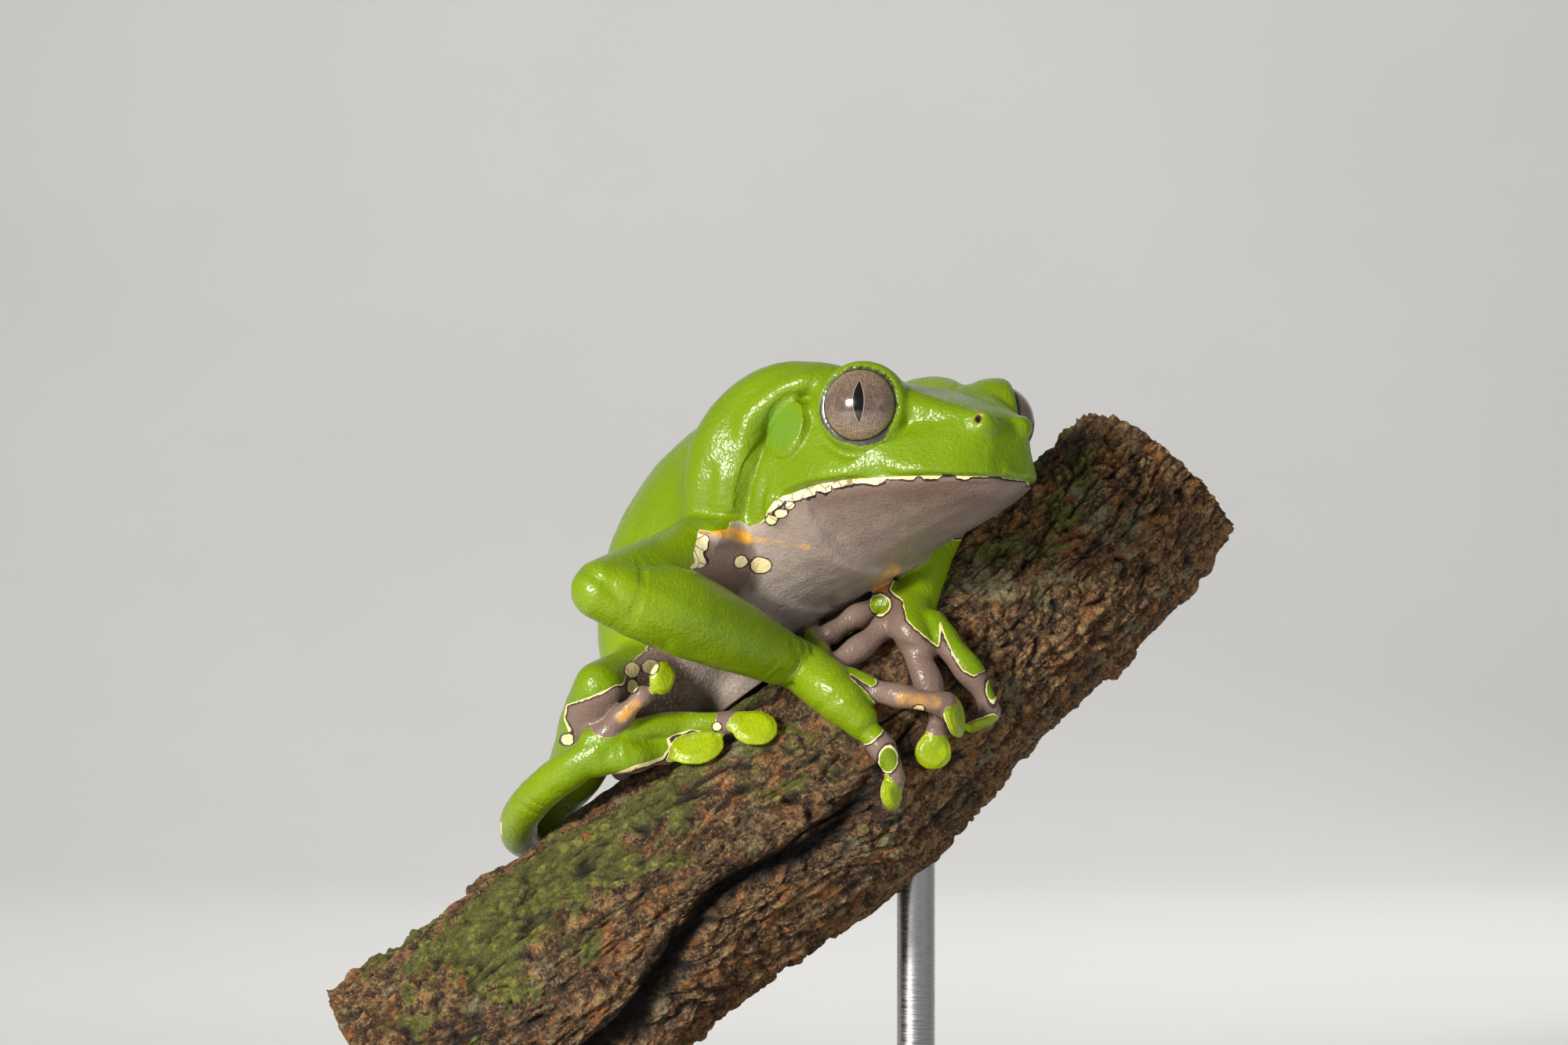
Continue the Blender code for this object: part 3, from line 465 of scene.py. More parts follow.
def settled(point, lift, move):
    """Slide a point along a direction until it is lift above the bark."""
    rows = spline(PERCH, 12)
    near, far = 0.0, 60.0
    start = np.array(point, dtype=float)
    for _ in range(40):
        middle = (near + far) / 2
        away = start + np.array(move, dtype=float) * (middle - 30.0) - rows[:, :3]
        gap = np.min(np.linalg.norm(away, axis=1) - rows[:, 3])
        if gap > lift:
            far = middle
        else:
            near = middle
    return tuple(start + np.array(move, dtype=float) * (near - 30.0))


def grip(x, z, lift, side=-1):
    """A point over the bark, seen at x and z, on the near or far side."""
    return settled((x, side * 20.0, z), lift, (0.0, side, 0.0))


def ridge(x, y, lift):
    """A point over the top of the branch, seen from above at x and y."""
    return settled((x, y, 90.0), lift, (0.0, 0.0, 1.0))


# Head

# Back from the snout: lip half width, canthus half width and height, top height
SKULL = (
    (-0.9, 3.2, 2.6, 5.0, 5.6),
    (-1.8, 5.6, 4.2, 7.2, 7.5),
    (-3.8, 8.3, 5.0, 8.6, 8.9),
    (-7.0, 11.0, 6.0, 9.8, 10.2),
    (-11.0, 13.4, 7.4, 10.9, 11.4),
    (-15.0, 15.0, 9.3, 11.9, 12.6),
    (-20.0, 16.1, 11.5, 12.6, 13.7),
    (-25.0, 16.3, 13.0, 12.6, 15.0),
    (-30.0, 16.2, 13.6, 12.0, 16.2),
    (-35.0, 15.8, 13.0, 10.5, 16.8),
)
# Back from the snout: jaw half width, depth of the throat
THROAT = (
    (-1.3, 3.2, 1.6),
    (-2.8, 6.5, 2.8),
    (-5.5, 9.4, 4.0),
    (-10.5, 12.5, 5.8),
    (-15.5, 14.3, 7.6),
    (-21.0, 15.3, 9.8),
    (-27.0, 15.4, 12.2),
    (-33.0, 15.0, 15.0),
    (-38.0, 14.0, 17.0),
)
# Line of the mouth: back from the snout, half width, height
MOUTH = (
    (-0.9, 0.0, -0.45),
    (-1.6, 3.4, -0.45),
    (-3.0, 7.0, -0.45),
    (-6.0, 10.2, -0.4),
    (-11.0, 13.1, -0.35),
    (-16.0, 15.0, -0.45),
    (-21.5, 15.9, -0.8),
    (-26.2, 15.9, -1.9),
)


def head_ring(a, half):
    """A closed ring of the head from its right half, which starts and ends on the middle line."""
    other = [(-b, c) for b, c in reversed(half[1:-1])]
    return [on_head(a, b, c) for b, c in half + other]


def skull():
    rings = []
    for a, w, wc, hc, ht in spline(SKULL, 4):
        low = -1.0
        half = [
            (0.0, low), (w * 0.5, low), (w * 0.88, low * 0.9), (w, 0.35),
            (w * 0.99, 1.6), (w * 0.7 + wc * 0.3, hc * 0.45), (w * 0.3 + wc * 0.72, hc * 0.78),
            (wc * 0.93, hc), (wc * 0.62, hc * 0.4 + ht * 0.6 + 0.1), (wc * 0.3, ht), (0.0, ht),
        ]
        rings.append(head_ring(a, half))
    return finished(skin_rings(bmesh.new(), rings))


def throat():
    rings = []
    for a, w, d in spline(THROAT, 4):
        half = [
            (0.0, 1.5), (w * 0.6, 1.5), (w * 0.96, 0.6), (w, -0.5), (w * 0.93, -d * 0.2 - 0.5),
            (w * 0.76, -d * 0.52), (w * 0.5, -d * 0.8), (w * 0.24, -d * 0.96), (0.0, -d),
        ]
        rings.append(head_ring(a, half))
    return finished(skin_rings(bmesh.new(), rings))


def eye_axis(sign):
    """Where an eye looks, in the head's own directions."""
    t = math.radians(EYE_TURN)
    lift = math.radians(EYE_LIFT)
    flat = math.cos(lift)
    return Vector((math.cos(t) * flat, sign * math.sin(t) * flat, math.sin(lift)))


def eye_centre(sign):
    return Vector((-EYE_BACK, sign * EYE_SIDE, EYE_UP))


def to_side(point, sign):
    """A point of the head's right side, or its mirror point on the left."""
    return Vector((point.x, sign * point.y, point.z))


def head_pieces():
    pieces = [skull(), throat()]
    for sign in (1, -1):
        pieces.append(ball(HEAD @ eye_centre(sign), (LID_R,) * 3))
        # Brow that runs from the eye into the crown, and the ridge to the nostril
        pieces.append(tube([
            (*on_head(-21.0, sign * 10.5, 9.6), 4.4),
            (*on_head(-15.8, sign * 9.6, 9.3), 4.6),
            (*on_head(-10.0, sign * 7.0, 8.2), 2.8),
            (*on_head(-5.5, sign * 4.8, 7.3), 1.9),
            (*on_head(-2.8, sign * 3.4, 6.6), 1.6),
        ]))
        # Swollen gland from behind the eye, over the ear, down to the shoulder
        pieces.append(tube([
            (*on_head(-19.0, sign * 9.0, 12.0), 2.4),
            (*on_head(-24.0, sign * 11.0, 12.8), 3.2),
            (*on_head(-30.5, sign * 12.8, 11.8), 4.4),
            (*on_head(-35.6, sign * 14.2, 7.6), 5.6),
            (*on_head(-38.2, sign * 14.8, 1.6), 6.0),
            (*on_head(-39.2, sign * 14.0, -5.0), 5.4),
        ]))
        # Ear drum, and the bump round the nostril
        facing = HEAD.to_3x3() @ Vector((-0.12, sign * 1.0, 0.08))
        along = HEAD.to_3x3() @ Vector((0.35, 0.0, 1.0))
        pieces.append(pad(HEAD @ to_side(TYMPANUM, sign), facing, TYMPANUM_R, 1.7, 1.12, along))
        pieces.append(ball(HEAD @ to_side(NOSTRIL, sign), (NOSTRIL_R,) * 3))
        # Upper lip that stands over the mouth, and the corner of the jaw
        lip = [(*on_head(x - 0.35, sign * (w - 0.45), z + 1.0), 0.75) for x, w, z in MOUTH]
        pieces.append(tube(lip, sides=12, steps=3))
        pieces.append(ball(on_head(-28.0, sign * 13.8, -2.8), (3.2,) * 3))
    return pieces


# Trunk: x, y, z, half width, reach up the back, reach down the belly, heading
TRUNK = (
    (13.0, -6.5, 110.5, 14.6, 10.0, 12.5, 45),
    (6.5, -0.5, 110.0, 15.6, 12.2, 15.0, 43),
    (0.5, 5.0, 108.0, 16.2, 14.2, 16.5, 41),
    (-5.0, 9.0, 103.0, 16.2, 15.2, 16.0, 38),
    (-10.0, 12.0, 96.0, 15.4, 14.6, 14.0, 34),
    (-13.5, 13.5, 89.0, 13.4, 11.8, 11.5, 31),
    (-15.5, 13.5, 83.0, 10.5, 8.8, 9.0, 30),
    (-16.5, 13.0, 78.5, 6.5, 6.0, 6.0, 30),
    (-16.8, 12.6, 76.4, 2.5, 2.6, 2.6, 30),
)


def trunk():
    rings = []
    rows = spline(TRUNK, 5)
    count = len(rows)
    for i in range(count):
        x, y, z, w, up, down, heading = rows[i]
        right = turned(heading)[1]
        ahead = Vector(rows[max(i - 1, 0)][:3]) - Vector(rows[min(i + 1, count - 1)][:3])
        ahead -= right * ahead.dot(right)
        ahead.normalize()
        dorsal = right.cross(ahead) * -1.0
        if dorsal.z < -0.1:
            dorsal = -dorsal
        ring = []
        for t in circle(TRUNK_SIDES):
            reach = up if math.sin(t) > 0 else down
            side = abs(math.cos(t)) ** 0.9 * math.copysign(1, math.cos(t))
            rise = abs(math.sin(t)) ** 0.95 * math.copysign(1, math.sin(t))
            ring.append(Vector((x, y, z)) + right * side * w + dorsal * rise * reach)
        rings.append(ring)
    return finished(skin_rings(bmesh.new(), rings))


def belly():
    """The belly where it rests on the top of the branch."""
    return [
        ball(Vector((9.5, 11.5, 91.0)), (9.5, 6.5, 7.5)),
        ball(Vector((-5.5, 10.5, 83.0)), (8.0, 7.0, 6.5)),
    ]


# Limb joints
R_SHOULDER = (-7.5, -4.0, 101.5)
R_ELBOW = (-23.2, -24.0, 96.4)
R_WRIST = (1.8, -7.5, 86.2)
R_HIP = (-17.0, 6.0, 83.0)
R_KNEE = (-24.2, -11.0, 83.4)
R_HEEL = (-35.0, 9.5, 61.5)
L_SHOULDER = (12.0, 15.0, 101.0)
L_ELBOW = (25.0, 22.0, 110.2)
L_WRIST = (18.0, 1.6, 95.8)
L_HIP = (-11.0, 20.5, 83.0)
L_KNEE = (6.0, 37.0, 86.0)
L_HEEL = (-24.5, 24.8, 63.6)


def gripping(rows, side=-1):
    """Rows of x, z, lift and radius, laid against the side of the branch."""
    return [(*grip(x, z, lift, side), r) for x, z, lift, r in rows]


def limbs():
    """The middle line of every limb, finger and toe: rows of x, y, z, radius, flatness."""
    return {
        "upper_arm_r": [
            (-2.0, 2.0, 103.0, 7.5), (*R_SHOULDER, 6.4), (-15.0, -13.4, 99.5, 4.6),
            (-20.5, -20.6, 97.6, 4.0), (*R_ELBOW, 3.9),
        ],
        "forearm_r": [
            (*R_ELBOW, 4.0), (-18.5, -22.4, 94.8, 4.9), (-13.8, -19.6, 93.6, 5.6),
            (-7.0, -14.8, 90.4, 5.0), (-2.2, -10.8, 88.0, 4.0), (*R_WRIST, 3.5),
            (4.6, -6.6, 84.6, 3.6),
        ],
        "upper_arm_l": [
            (6.0, 9.0, 103.0, 7.0), (*L_SHOULDER, 6.0), (19.0, 19.4, 106.2, 4.4), (*L_ELBOW, 3.8),
        ],
        "forearm_l": [
            (*L_ELBOW, 3.8), (24.2, 17.6, 108.4, 4.0), (22.2, 12.0, 105.0, 3.8),
            (19.9, 6.4, 100.6, 3.3), (*L_WRIST, 3.2), (17.2, -0.4, 93.4, 3.2),
        ],
        "thigh_r": [
            (-13.0, 9.0, 86.0, 7.0), (*R_HIP, 6.6), (-20.0, -1.0, 82.8, 5.6),
            (-22.8, -7.4, 83.2, 4.3), (*R_KNEE, 3.4),
        ],
        "shank_r": [
            (*R_KNEE, 3.4), (-25.6, -6.0, 78.6, 4.2), (-27.6, 0.6, 72.6, 4.1),
            (-31.4, 6.6, 66.6, 3.0), (*R_HEEL, 2.6),
        ],
        "thigh_l": [
            (-13.0, 15.0, 87.0, 7.0), (*L_HIP, 6.6), (-4.5, 27.0, 84.5, 6.0),
            (2.0, 33.5, 86.0, 4.8), (*L_KNEE, 3.7),
        ],
        "shank_l": [
            (*L_KNEE, 3.4), (2.0, 36.8, 81.5, 4.2), (-6.0, 34.8, 76.5, 4.3),
            (-15.0, 31.0, 70.5, 3.5), (*L_HEEL, 2.6),
        ],
        "palm_r": [
            (3.0, -7.4, 85.6, 3.6), (*grip(6.8, 82.4, 2.6), 3.9, 0.9), (*grip(10.0, 79.2, 2.0), 2.7, 0.9),
        ],
        "fourth_finger_r": gripping([
            (9.0, 79.6, 1.8, 2.3), (12.2, 76.4, 1.7, 1.8), (13.9, 73.6, 1.5, 1.65), (14.6, 71.4, 1.3, 1.3),
        ]),
        "third_finger_r": gripping([
            (8.5, 83.6, 2.2, 2.5), (11.8, 83.0, 3.2, 1.8), (15.8, 82.2, 5.2, 1.45), (19.2, 81.6, 5.8, 1.7),
            (21.0, 81.2, 5.6, 1.7),
        ]),
        "second_finger_r": [
            (4.8, -5.8, 86.6, 2.0), (*ridge(4.4, -1.0, 1.5), 1.6),
            (*ridge(4.2, 4.0, 1.4), 1.4), (*ridge(4.0, 7.0, 1.4), 1.5),
        ],
        "thumb_r": [(2.6, -5.6, 86.0, 1.9), (*ridge(0.4, -1.0, 1.4), 1.5), (*ridge(-1.4, 3.6, 1.3), 1.3)],
        "palm_l": [
            (17.2, -0.2, 93.6, 3.2), (*grip(16.8, 91.0, 2.4), 3.1, 0.85),
            (*grip(18.4, 88.2, 1.9), 2.2, 0.85),
        ],
        "third_finger_l": gripping([
            (15.8, 91.6, 1.8, 1.95), (17.6, 87.4, 1.6, 1.8), (19.3, 83.2, 1.6, 1.7), (20.2, 79.4, 1.5, 1.45),
            (20.0, 77.0, 1.6, 1.5),
        ]),
        "fourth_finger_l": gripping([
            (19.6, 91.2, 1.9, 2.4), (22.2, 88.2, 1.9, 2.0), (24.8, 84.9, 1.7, 1.75), (26.6, 82.0, 1.6, 1.5),
            (27.3, 79.9, 1.5, 1.4),
        ]),
        "second_finger_l": gripping([
            (14.8, 92.4, 1.9, 2.0), (12.6, 90.4, 1.9, 1.7), (9.8, 88.2, 1.8, 1.6), (7.2, 86.4, 1.7, 1.7),
            (5.0, 85.0, 1.5, 1.5),
        ]),
        "thumb_l": [
            (14.8, 1.0, 95.2, 2.0), (11.8, 0.6, 93.2, 1.7), (*ridge(9.0, -0.4, 1.8), 1.6),
            (*ridge(6.2, -1.0, 1.6), 1.5),
        ],
        "tarsus_r": [
            (*R_HEEL, 2.6), (-35.8, 4.8, 62.8, 2.6), (-35.2, -1.0, 65.6, 2.6), (-32.4, -6.6, 69.2, 2.6),
            (-28.2, -10.2, 72.6, 2.6), (-24.0, -11.6, 74.9, 2.5), (-21.0, -11.6, 75.6, 2.3),
        ],
        "fifth_toe_r": [
            (-26.0, -11.2, 73.6, 2.1), (-20.8, -12.2, 74.2, 2.1), (*grip(-15.4, 75.0, 2.0), 1.95),
        ],
        "fourth_toe_r": [
            (-25.0, -11.4, 76.3, 2.0), (-20.0, -11.4, 77.6, 1.9), (-14.4, -9.0, 78.2, 1.8),
            (-9.8, -9.4, 78.6, 1.65), (*grip(-6.6, 78.6, 1.6), 1.5),
        ],
        "first_toe_r": [(-24.0, -11.8, 76.4, 1.8), (-21.4, -13.2, 79.4, 1.4), (-18.4, -14.0, 82.4, 1.25)],
        "third_toe_r": [
            (-21.6, -8.4, 75.0, 1.6), (*ridge(-18.2, -4.6, 0.9), 1.3), (*ridge(-15.4, -0.6, 0.9), 1.2),
        ],
        "second_toe_r": [
            (-23.0, -8.8, 75.4, 1.6), (*ridge(-21.6, -4.6, 1.1), 1.3), (*ridge(-20.2, -0.4, 1.0), 1.2),
        ],
        "tarsus_l": [
            (*L_HEEL, 2.7), (-21.6, 21.4, 63.8, 2.4), (-15.0, 20.2, 66.4, 2.5), (-9.0, 20.4, 70.6, 2.4),
            (*grip(-3.0, 75.6, 1.8, 1), 1.9), (*grip(1.2, 79.2, 1.6, 1), 1.5),
        ],
        "fifth_toe_l": [
            (-9.0, 20.8, 70.0, 1.9), (*grip(-3.6, 71.0, 1.7, 1), 1.6), (*grip(1.6, 72.8, 1.5, 1), 1.4),
        ],
        "third_toe_l": [
            (-9.4, 19.8, 71.6, 1.8), (*grip(-5.4, 76.6, 1.7, 1), 1.5), (*grip(-3.4, 80.2, 1.5, 1), 1.3),
        ],
        "second_toe_l": [
            (-13.0, 19.4, 68.4, 1.7), (*grip(-11.4, 73.0, 1.6, 1), 1.3), (*grip(-10.4, 76.0, 1.4, 1), 1.2),
        ],
        "first_toe_l": [
            (-14.0, 20.6, 66.6, 1.8), (*grip(-10.4, 63.4, 1.6, 1), 1.4), (*grip(-7.8, 61.0, 1.4, 1), 1.2),
        ],
    }


def discs():
    """The disc at the tip of each finger and toe: centre, facing, radius, thickness, length, direction."""
    up = (0, 0, 1)
    return {
        "fourth_finger_r": (grip(14.0, 69.6, 1.2), (0.75, -0.6, 0.1), 2.0, 1.0, 1.15, up),
        "third_finger_r": (grip(22.4, 79.6, 4.8), (0.9, -0.35, 0.2), 3.1, 1.05, 1.0, up),
        "second_finger_r": (ridge(3.8, 9.6, 1.2), (-0.35, 0.35, 0.87), 2.5, 1.05, 1.0, up),
        "thumb_r": (ridge(-2.4, 6.0, 1.2), (-0.35, 0.2, 0.9), 2.2, 1.0, 1.0, up),
        "third_finger_l": (grip(19.6, 74.9, 1.6), (0.0, -1.0, 0.0), 2.6, 1.1, 0.97, up),
        "fourth_finger_l": (grip(25.8, 78.3, 1.5), (0.35, -0.3, -0.9), 2.0, 0.8, 1.2, (1, 0, 0.3)),
        "fifth_toe_r": (grip(-11.5, 75.4, 1.4), (-0.12, -0.82, 0.55), 2.75, 1.0, 1.42, (1, 0, 0.15)),
        "fourth_toe_r": (grip(-3.9, 78.0, 1.4), (0.0, -0.85, 0.52), 2.75, 1.0, 1.2, (1, -0.1, -0.05)),
        "first_toe_r": ((-15.8, -14.2, 84.7), (0.5, -0.8, 0.1), 1.9, 1.0, 1.25, (0.5, 0, 1)),
        "third_toe_r": (ridge(-13.9, 1.8, 0.9), (-0.35, 0.0, 0.9), 1.9, 0.9, 1.25, (0.6, 1, 0.4)),
        "second_toe_r": (ridge(-19.4, 2.2, 1.0), (-0.45, 0.0, 0.85), 1.8, 0.9, 1.2, (0.4, 1, 0.3)),
        "tarsus_l": (grip(3.8, 81.4, 1.5, 1), (-0.2, 0.9, 0.4), 2.5, 1.15, 1.3, (1, 0, 0.8)),
        "fifth_toe_l": (grip(4.6, 74.0, 1.4, 1), (0.0, 0.98, 0.1), 2.3, 1.1, 1.3, (1, 0, 0.4)),
        "third_toe_l": (grip(-2.2, 82.6, 1.4, 1), (-0.3, 0.8, 0.5), 2.1, 1.1, 1.25, (0.4, 0, 1)),
        "second_toe_l": (grip(-9.8, 78.0, 1.3, 1), (-0.3, 0.8, 0.5), 1.8, 1.0, 1.25, (0.3, 0, 1)),
        "first_toe_l": (grip(-6.0, 59.2, 1.3, 1), (0.0, 0.98, -0.1), 1.9, 1.0, 1.2, (0.6, 0, -0.8)),
    }


# Folds and hollows of the skin

def off_segment(points, one, two):
    """Offset of each point from a straight piece of line, and its share of the way along it."""
    run = two - one
    t = np.clip((points - one) @ run / (run @ run), 0.0, 1.0)
    return points - one - t[:, None] * run, t


def along_line(points, line):
    """Distance from each point to a broken line, and the side it lies on (+1 is left)."""
    best = np.full(len(points), 1e9)
    side = np.ones(len(points))
    for one, two in zip(line[:-1], line[1:]):
        run = two - one
        off = off_segment(points, one, two)[0]
        away = np.linalg.norm(off, axis=1)
        nearer = away < best
        best = np.where(nearer, away, best)
        turn = run[0] * off[:, 1] - run[1] * off[:, 0]
        side = np.where(nearer, np.sign(turn), side)
    return best, side


def inside_area(points, corners):
    """Signed distance to an area's edge, positive inside it."""
    corners = np.array(corners, dtype=float)
    best = np.full(len(points), 1e9)
    inside = np.zeros(len(points), dtype=bool)
    for i in range(len(corners)):
        one = corners[i]
        two = corners[(i + 1) % len(corners)]
        off = off_segment(points, one, two)[0]
        best = np.minimum(best, np.linalg.norm(off, axis=1))
        if one[1] != two[1]:
            crosses = (one[1] > points[:, 1]) != (two[1] > points[:, 1])
            reach = one[0] + (points[:, 1] - one[1]) / (two[1] - one[1]) * (two[0] - one[0])
            inside ^= crosses & (points[:, 0] < reach)
    return np.where(inside, best, -best)


def outside_oval(seen, oval):
    """Distance in mm outside an oval in the photograph: its middle, half width and half height."""
    x, y, wide, high = oval
    off = (seen - np.array((x, y))) / np.array((wide, high))
    return (np.linalg.norm(off, axis=1) - 1.0) * min(wide, high) / PX_PER_MM


def from_eye(local, sign):
    """Offsets from the centre of an eye, and the direction that it looks in."""
    return local - np.array(eye_centre(sign)), np.array(eye_axis(sign))


def off_axis(off, axis):
    """Length of each offset, and its angle from the axis in degrees."""
    reach = np.linalg.norm(off, axis=1)
    cosine = off @ axis / np.maximum(reach, 1e-6)
    return reach, np.degrees(np.arccos(np.clip(cosine, -1.0, 1.0)))


def from_nostril(local, sign):
    """Distance from the bottom of a nostril, whose pit slants."""
    facing = np.array((0.25, 0.85 * sign, 0.35))
    facing /= np.linalg.norm(facing)
    off = local - (np.array(to_side(NOSTRIL, sign)) + facing * NOSTRIL_R)
    off[:, 0] *= NOSTRIL_LONG
    return np.linalg.norm(off, axis=1)


def ear_reach(local):
    """Distance from the middle of the ear drum, in a view from the side."""
    off = (local[:, [0, 2]] - np.array((TYMPANUM.x, TYMPANUM.z))) / np.array((1.0, 1.15))
    turn = math.radians(EAR_TILT)
    a = off[:, 0] * math.cos(turn) - off[:, 1] * math.sin(turn)
    c = off[:, 0] * math.sin(turn) + off[:, 1] * math.cos(turn)
    return np.hypot(a, c)


def flat_ears(co):
    """Press each ear drum flat, a little above the skin round it."""
    local = in_head(co)
    reach = ear_reach(local)
    for sign in (1, -1):
        level = EAR_OUT - 0.16 * (local[:, 2] - TYMPANUM.z) + 0.02 * (local[:, 0] - TYMPANUM.x)
        level += 0.2 * (1 - (reach / TYMPANUM_R) ** 2)
        on = smooth_step(TYMPANUM_R + 0.25, TYMPANUM_R - 0.25, reach) * (local[:, 1] * sign > 12.0)
        away, side = along_line(local[:, [0, 2]], spline(EAR_FOLD, 4))
        on *= smooth_step(-0.3, 0.9, away * side)
        local[:, 1] += (sign * level - local[:, 1]) * on
    return from_head(local)


def relaxed(co, edges, share, rounds):
    """Even out points by moving each towards the middle of its neighbours."""
    count = np.bincount(edges.ravel(), minlength=len(co))[:, None]
    for _ in range(rounds):
        total = np.zeros_like(co)
        for axis in range(3):
            total[:, axis] += np.bincount(edges[:, 0], co[edges[:, 1], axis], len(co))
            total[:, axis] += np.bincount(edges[:, 1], co[edges[:, 0], axis], len(co))
        co = co + (total / count - co) * share[:, None]
    return co


def beside_head(local, facing):
    """How far a point belongs to the flat side of the head."""
    outward = smooth_step(0.0, 0.35, np.abs(facing[:, 1]))
    return smooth_step(8.5, 11.5, np.abs(local[:, 1])) * outward


def mouth_height(a):
    """Height of the mouth's line at a distance ahead of the snout."""
    rows = np.array(MOUTH)[::-1]
    return np.interp(a, rows[:, 0], rows[:, 2])


def head_relief(co, no):
    """How far each point of the head moves outward, for the folds round eye, ear and mouth."""
    local = in_head(co)
    facing = facing_in_head(no)
    move = np.zeros(len(co))
    flat = local[:, [0, 2]]
    beside = beside_head(local, facing)
    # Fold where the gland hangs over the ear
    away, side = along_line(flat, spline(EAR_FOLD, 4))
    over = -away * side
    ends = smooth_step(-20.0, -24.5, flat[:, 0]) * smooth_step(-7.0, -2.0, flat[:, 1])
    lift = 1.15 * bell(over - 1.7, 1.4) - 0.95 * bell(over + 0.25, 0.6)
    move += lift * beside * ends
    for line, depth in JAW_FOLDS:
        away, side = along_line(flat, spline(line, 4))
        move -= depth * bell(away, 0.3) * beside
    # Groove round the ear drum
    reach = ear_reach(local)
    before = smooth_step(0.6, -0.6, over)
    move -= beside * before * 0.3 * bell(reach - TYMPANUM_R - 0.25, 0.3)
    # Mouth: a groove between an upper lip that stands out and a thin lower lip
    above = local[:, 2] - mouth_height(local[:, 0])
    lips = smooth_step(-28.0, -26.0, local[:, 0])
    lips *= smooth_step(0.2, 0.5, np.linalg.norm(facing[:, :2], axis=1))
    move += 0.22 * lips * bell(above - 0.75, 0.6)
    move -= lips * (0.75 * bell(above + 0.1, 0.2) + 0.1 * bell(above + 1.0, 0.6))
    for sign in (1, -1):
        # Groove below the eye
        off, axis = from_eye(local, sign)
        depth = off @ axis
        out = off - depth[:, None] * axis
        radius = np.linalg.norm(out, axis=1)
        low = smooth_step(0.5, -2.5, out[:, 2]) * smooth_step(-2.0, 1.0, depth)
        move -= 0.55 * low * bell(radius - LID_R - 0.5, 0.45)
        # Nostril: a slanting pit with a raised rim
        reach = from_nostril(local, sign)
        move += 0.5 * bell(reach, 1.5) + 0.16 * bell(reach - 0.85, 0.3) - 1.6 * bell(reach, 0.42)
    return move


def open_lids(co):
    """Pull the skin in at each eye, so that the lids stand round the eyeball."""
    local = in_head(co)
    moved = local.copy()
    for sign in (1, -1):
        off, axis = from_eye(local, sign)
        reach, angle = off_axis(off, axis)
        # From inside the eyeball, over the lid's rim, to the skin round it
        target = LID_FOOT + LID_RISE * smooth_step(OPENING - 3.5, OPENING + 4.5, angle)
        target += LID_SWELL * smooth_step(OPENING + 4.5, OPENING + 14.0, angle)
        hold = smooth_step(OPENING + 17.0, OPENING + 5.0, angle) * smooth_step(11.0, 9.0, reach)
        size = (reach + (target - reach) * hold) / np.maximum(reach, 1e-6)
        placed = np.array(eye_centre(sign)) + off * size[:, None]
        moved = np.where((hold > 0)[:, None], placed, moved)
    return from_head(moved)


def limb_frame(co, rows, reach=9.0):
    """The points near a limb, their height over it, distance along and direction out, and its length."""
    line = limb_line(rows, 6)
    low = line[:, :3].min(0) - reach
    high = line[:, :3].max(0) + reach
    near = np.flatnonzero(np.all((co > low) & (co < high), axis=1))
    points = co[near]
    best = np.full(len(near), 1e9)
    along = np.zeros(len(near))
    out = np.zeros((len(near), 3))
    gone = 0.0
    for one, two in zip(line[:-1], line[1:]):
        length = np.linalg.norm(two[:3] - one[:3])
        if length < 1e-9:
            continue
        off, t = off_segment(points, one[:3], two[:3])
        away = np.linalg.norm(off, axis=1)
        height = away - (one[3] + (two[3] - one[3]) * t)
        nearer = height < best
        best = np.where(nearer, height, best)
        along = np.where(nearer, gone + t * length, along)
        out[nearer] = off[nearer] / np.maximum(away[nearer], 1e-6)[:, None]
        gone += length
    return near, best, along, out, gone


# Creases across a limb: distances along it, depth, width
CREASES = {
    "forearm_r": (
        (24.4, 0.12, 0.3), (26.4, 0.42, 0.3), (27.6, 0.3, 0.26), (28.9, 0.45, 0.32),
        (30.6, 0.3, 0.3), (4.2, 0.2, 0.5),
    ),
    "forearm_l": ((17.2, 0.3, 0.3), (18.5, 0.34, 0.28), (19.8, 0.25, 0.25)),
    "palm_r": ((6.5, 0.2, 0.4),),
    "tarsus_r": ((17.0, 0.2, 0.4), (19.0, 0.15, 0.35)),
}


def is_digit(name):
    return "finger" in name or "toe" in name or "thumb" in name


def limb_relief(co, rows_of):
    """Creases at wrists, and slight knuckles on fingers and toes."""
    move = np.zeros(len(co))
    for name, rows in rows_of.items():
        near, height, along, out, total = limb_frame(co, rows)
        on = smooth_step(0.9, 0.2, height)
        shape = np.zeros(len(near))
        for place, depth, width in CREASES.get(name, ()):
            wavy = 0.5 * np.sin(along * 0.2 + out[:, 2] * 3.0)
            shape -= depth * bell(along - place - wavy, width)
        if is_digit(name):
            share = along / total
            shape += 0.2 * np.cos((share - 0.05) * 4 * math.pi) * smooth_step(0.1, 0.3, share)
        move[near] += shape * on
    return move


def pad_relief(co, pads):
    """A shallow groove round the face of every disc, and a hollow in its middle."""
    move = np.zeros(len(co))
    for centre, facing, radius, _, long, along in pads.values():
        off = (co - np.array(centre)) @ np.array(facing_frame(facing, along))
        flat = np.hypot(off[:, 0] / (radius * long), off[:, 1] / radius)
        on = (np.abs(off[:, 2]) < 3.0) & (off[:, 2] > -0.4)
        move -= 0.14 * on * bell(flat - 0.82, 0.07) + 0.16 * on * smooth_step(0.75, 0.2, flat)
    return move


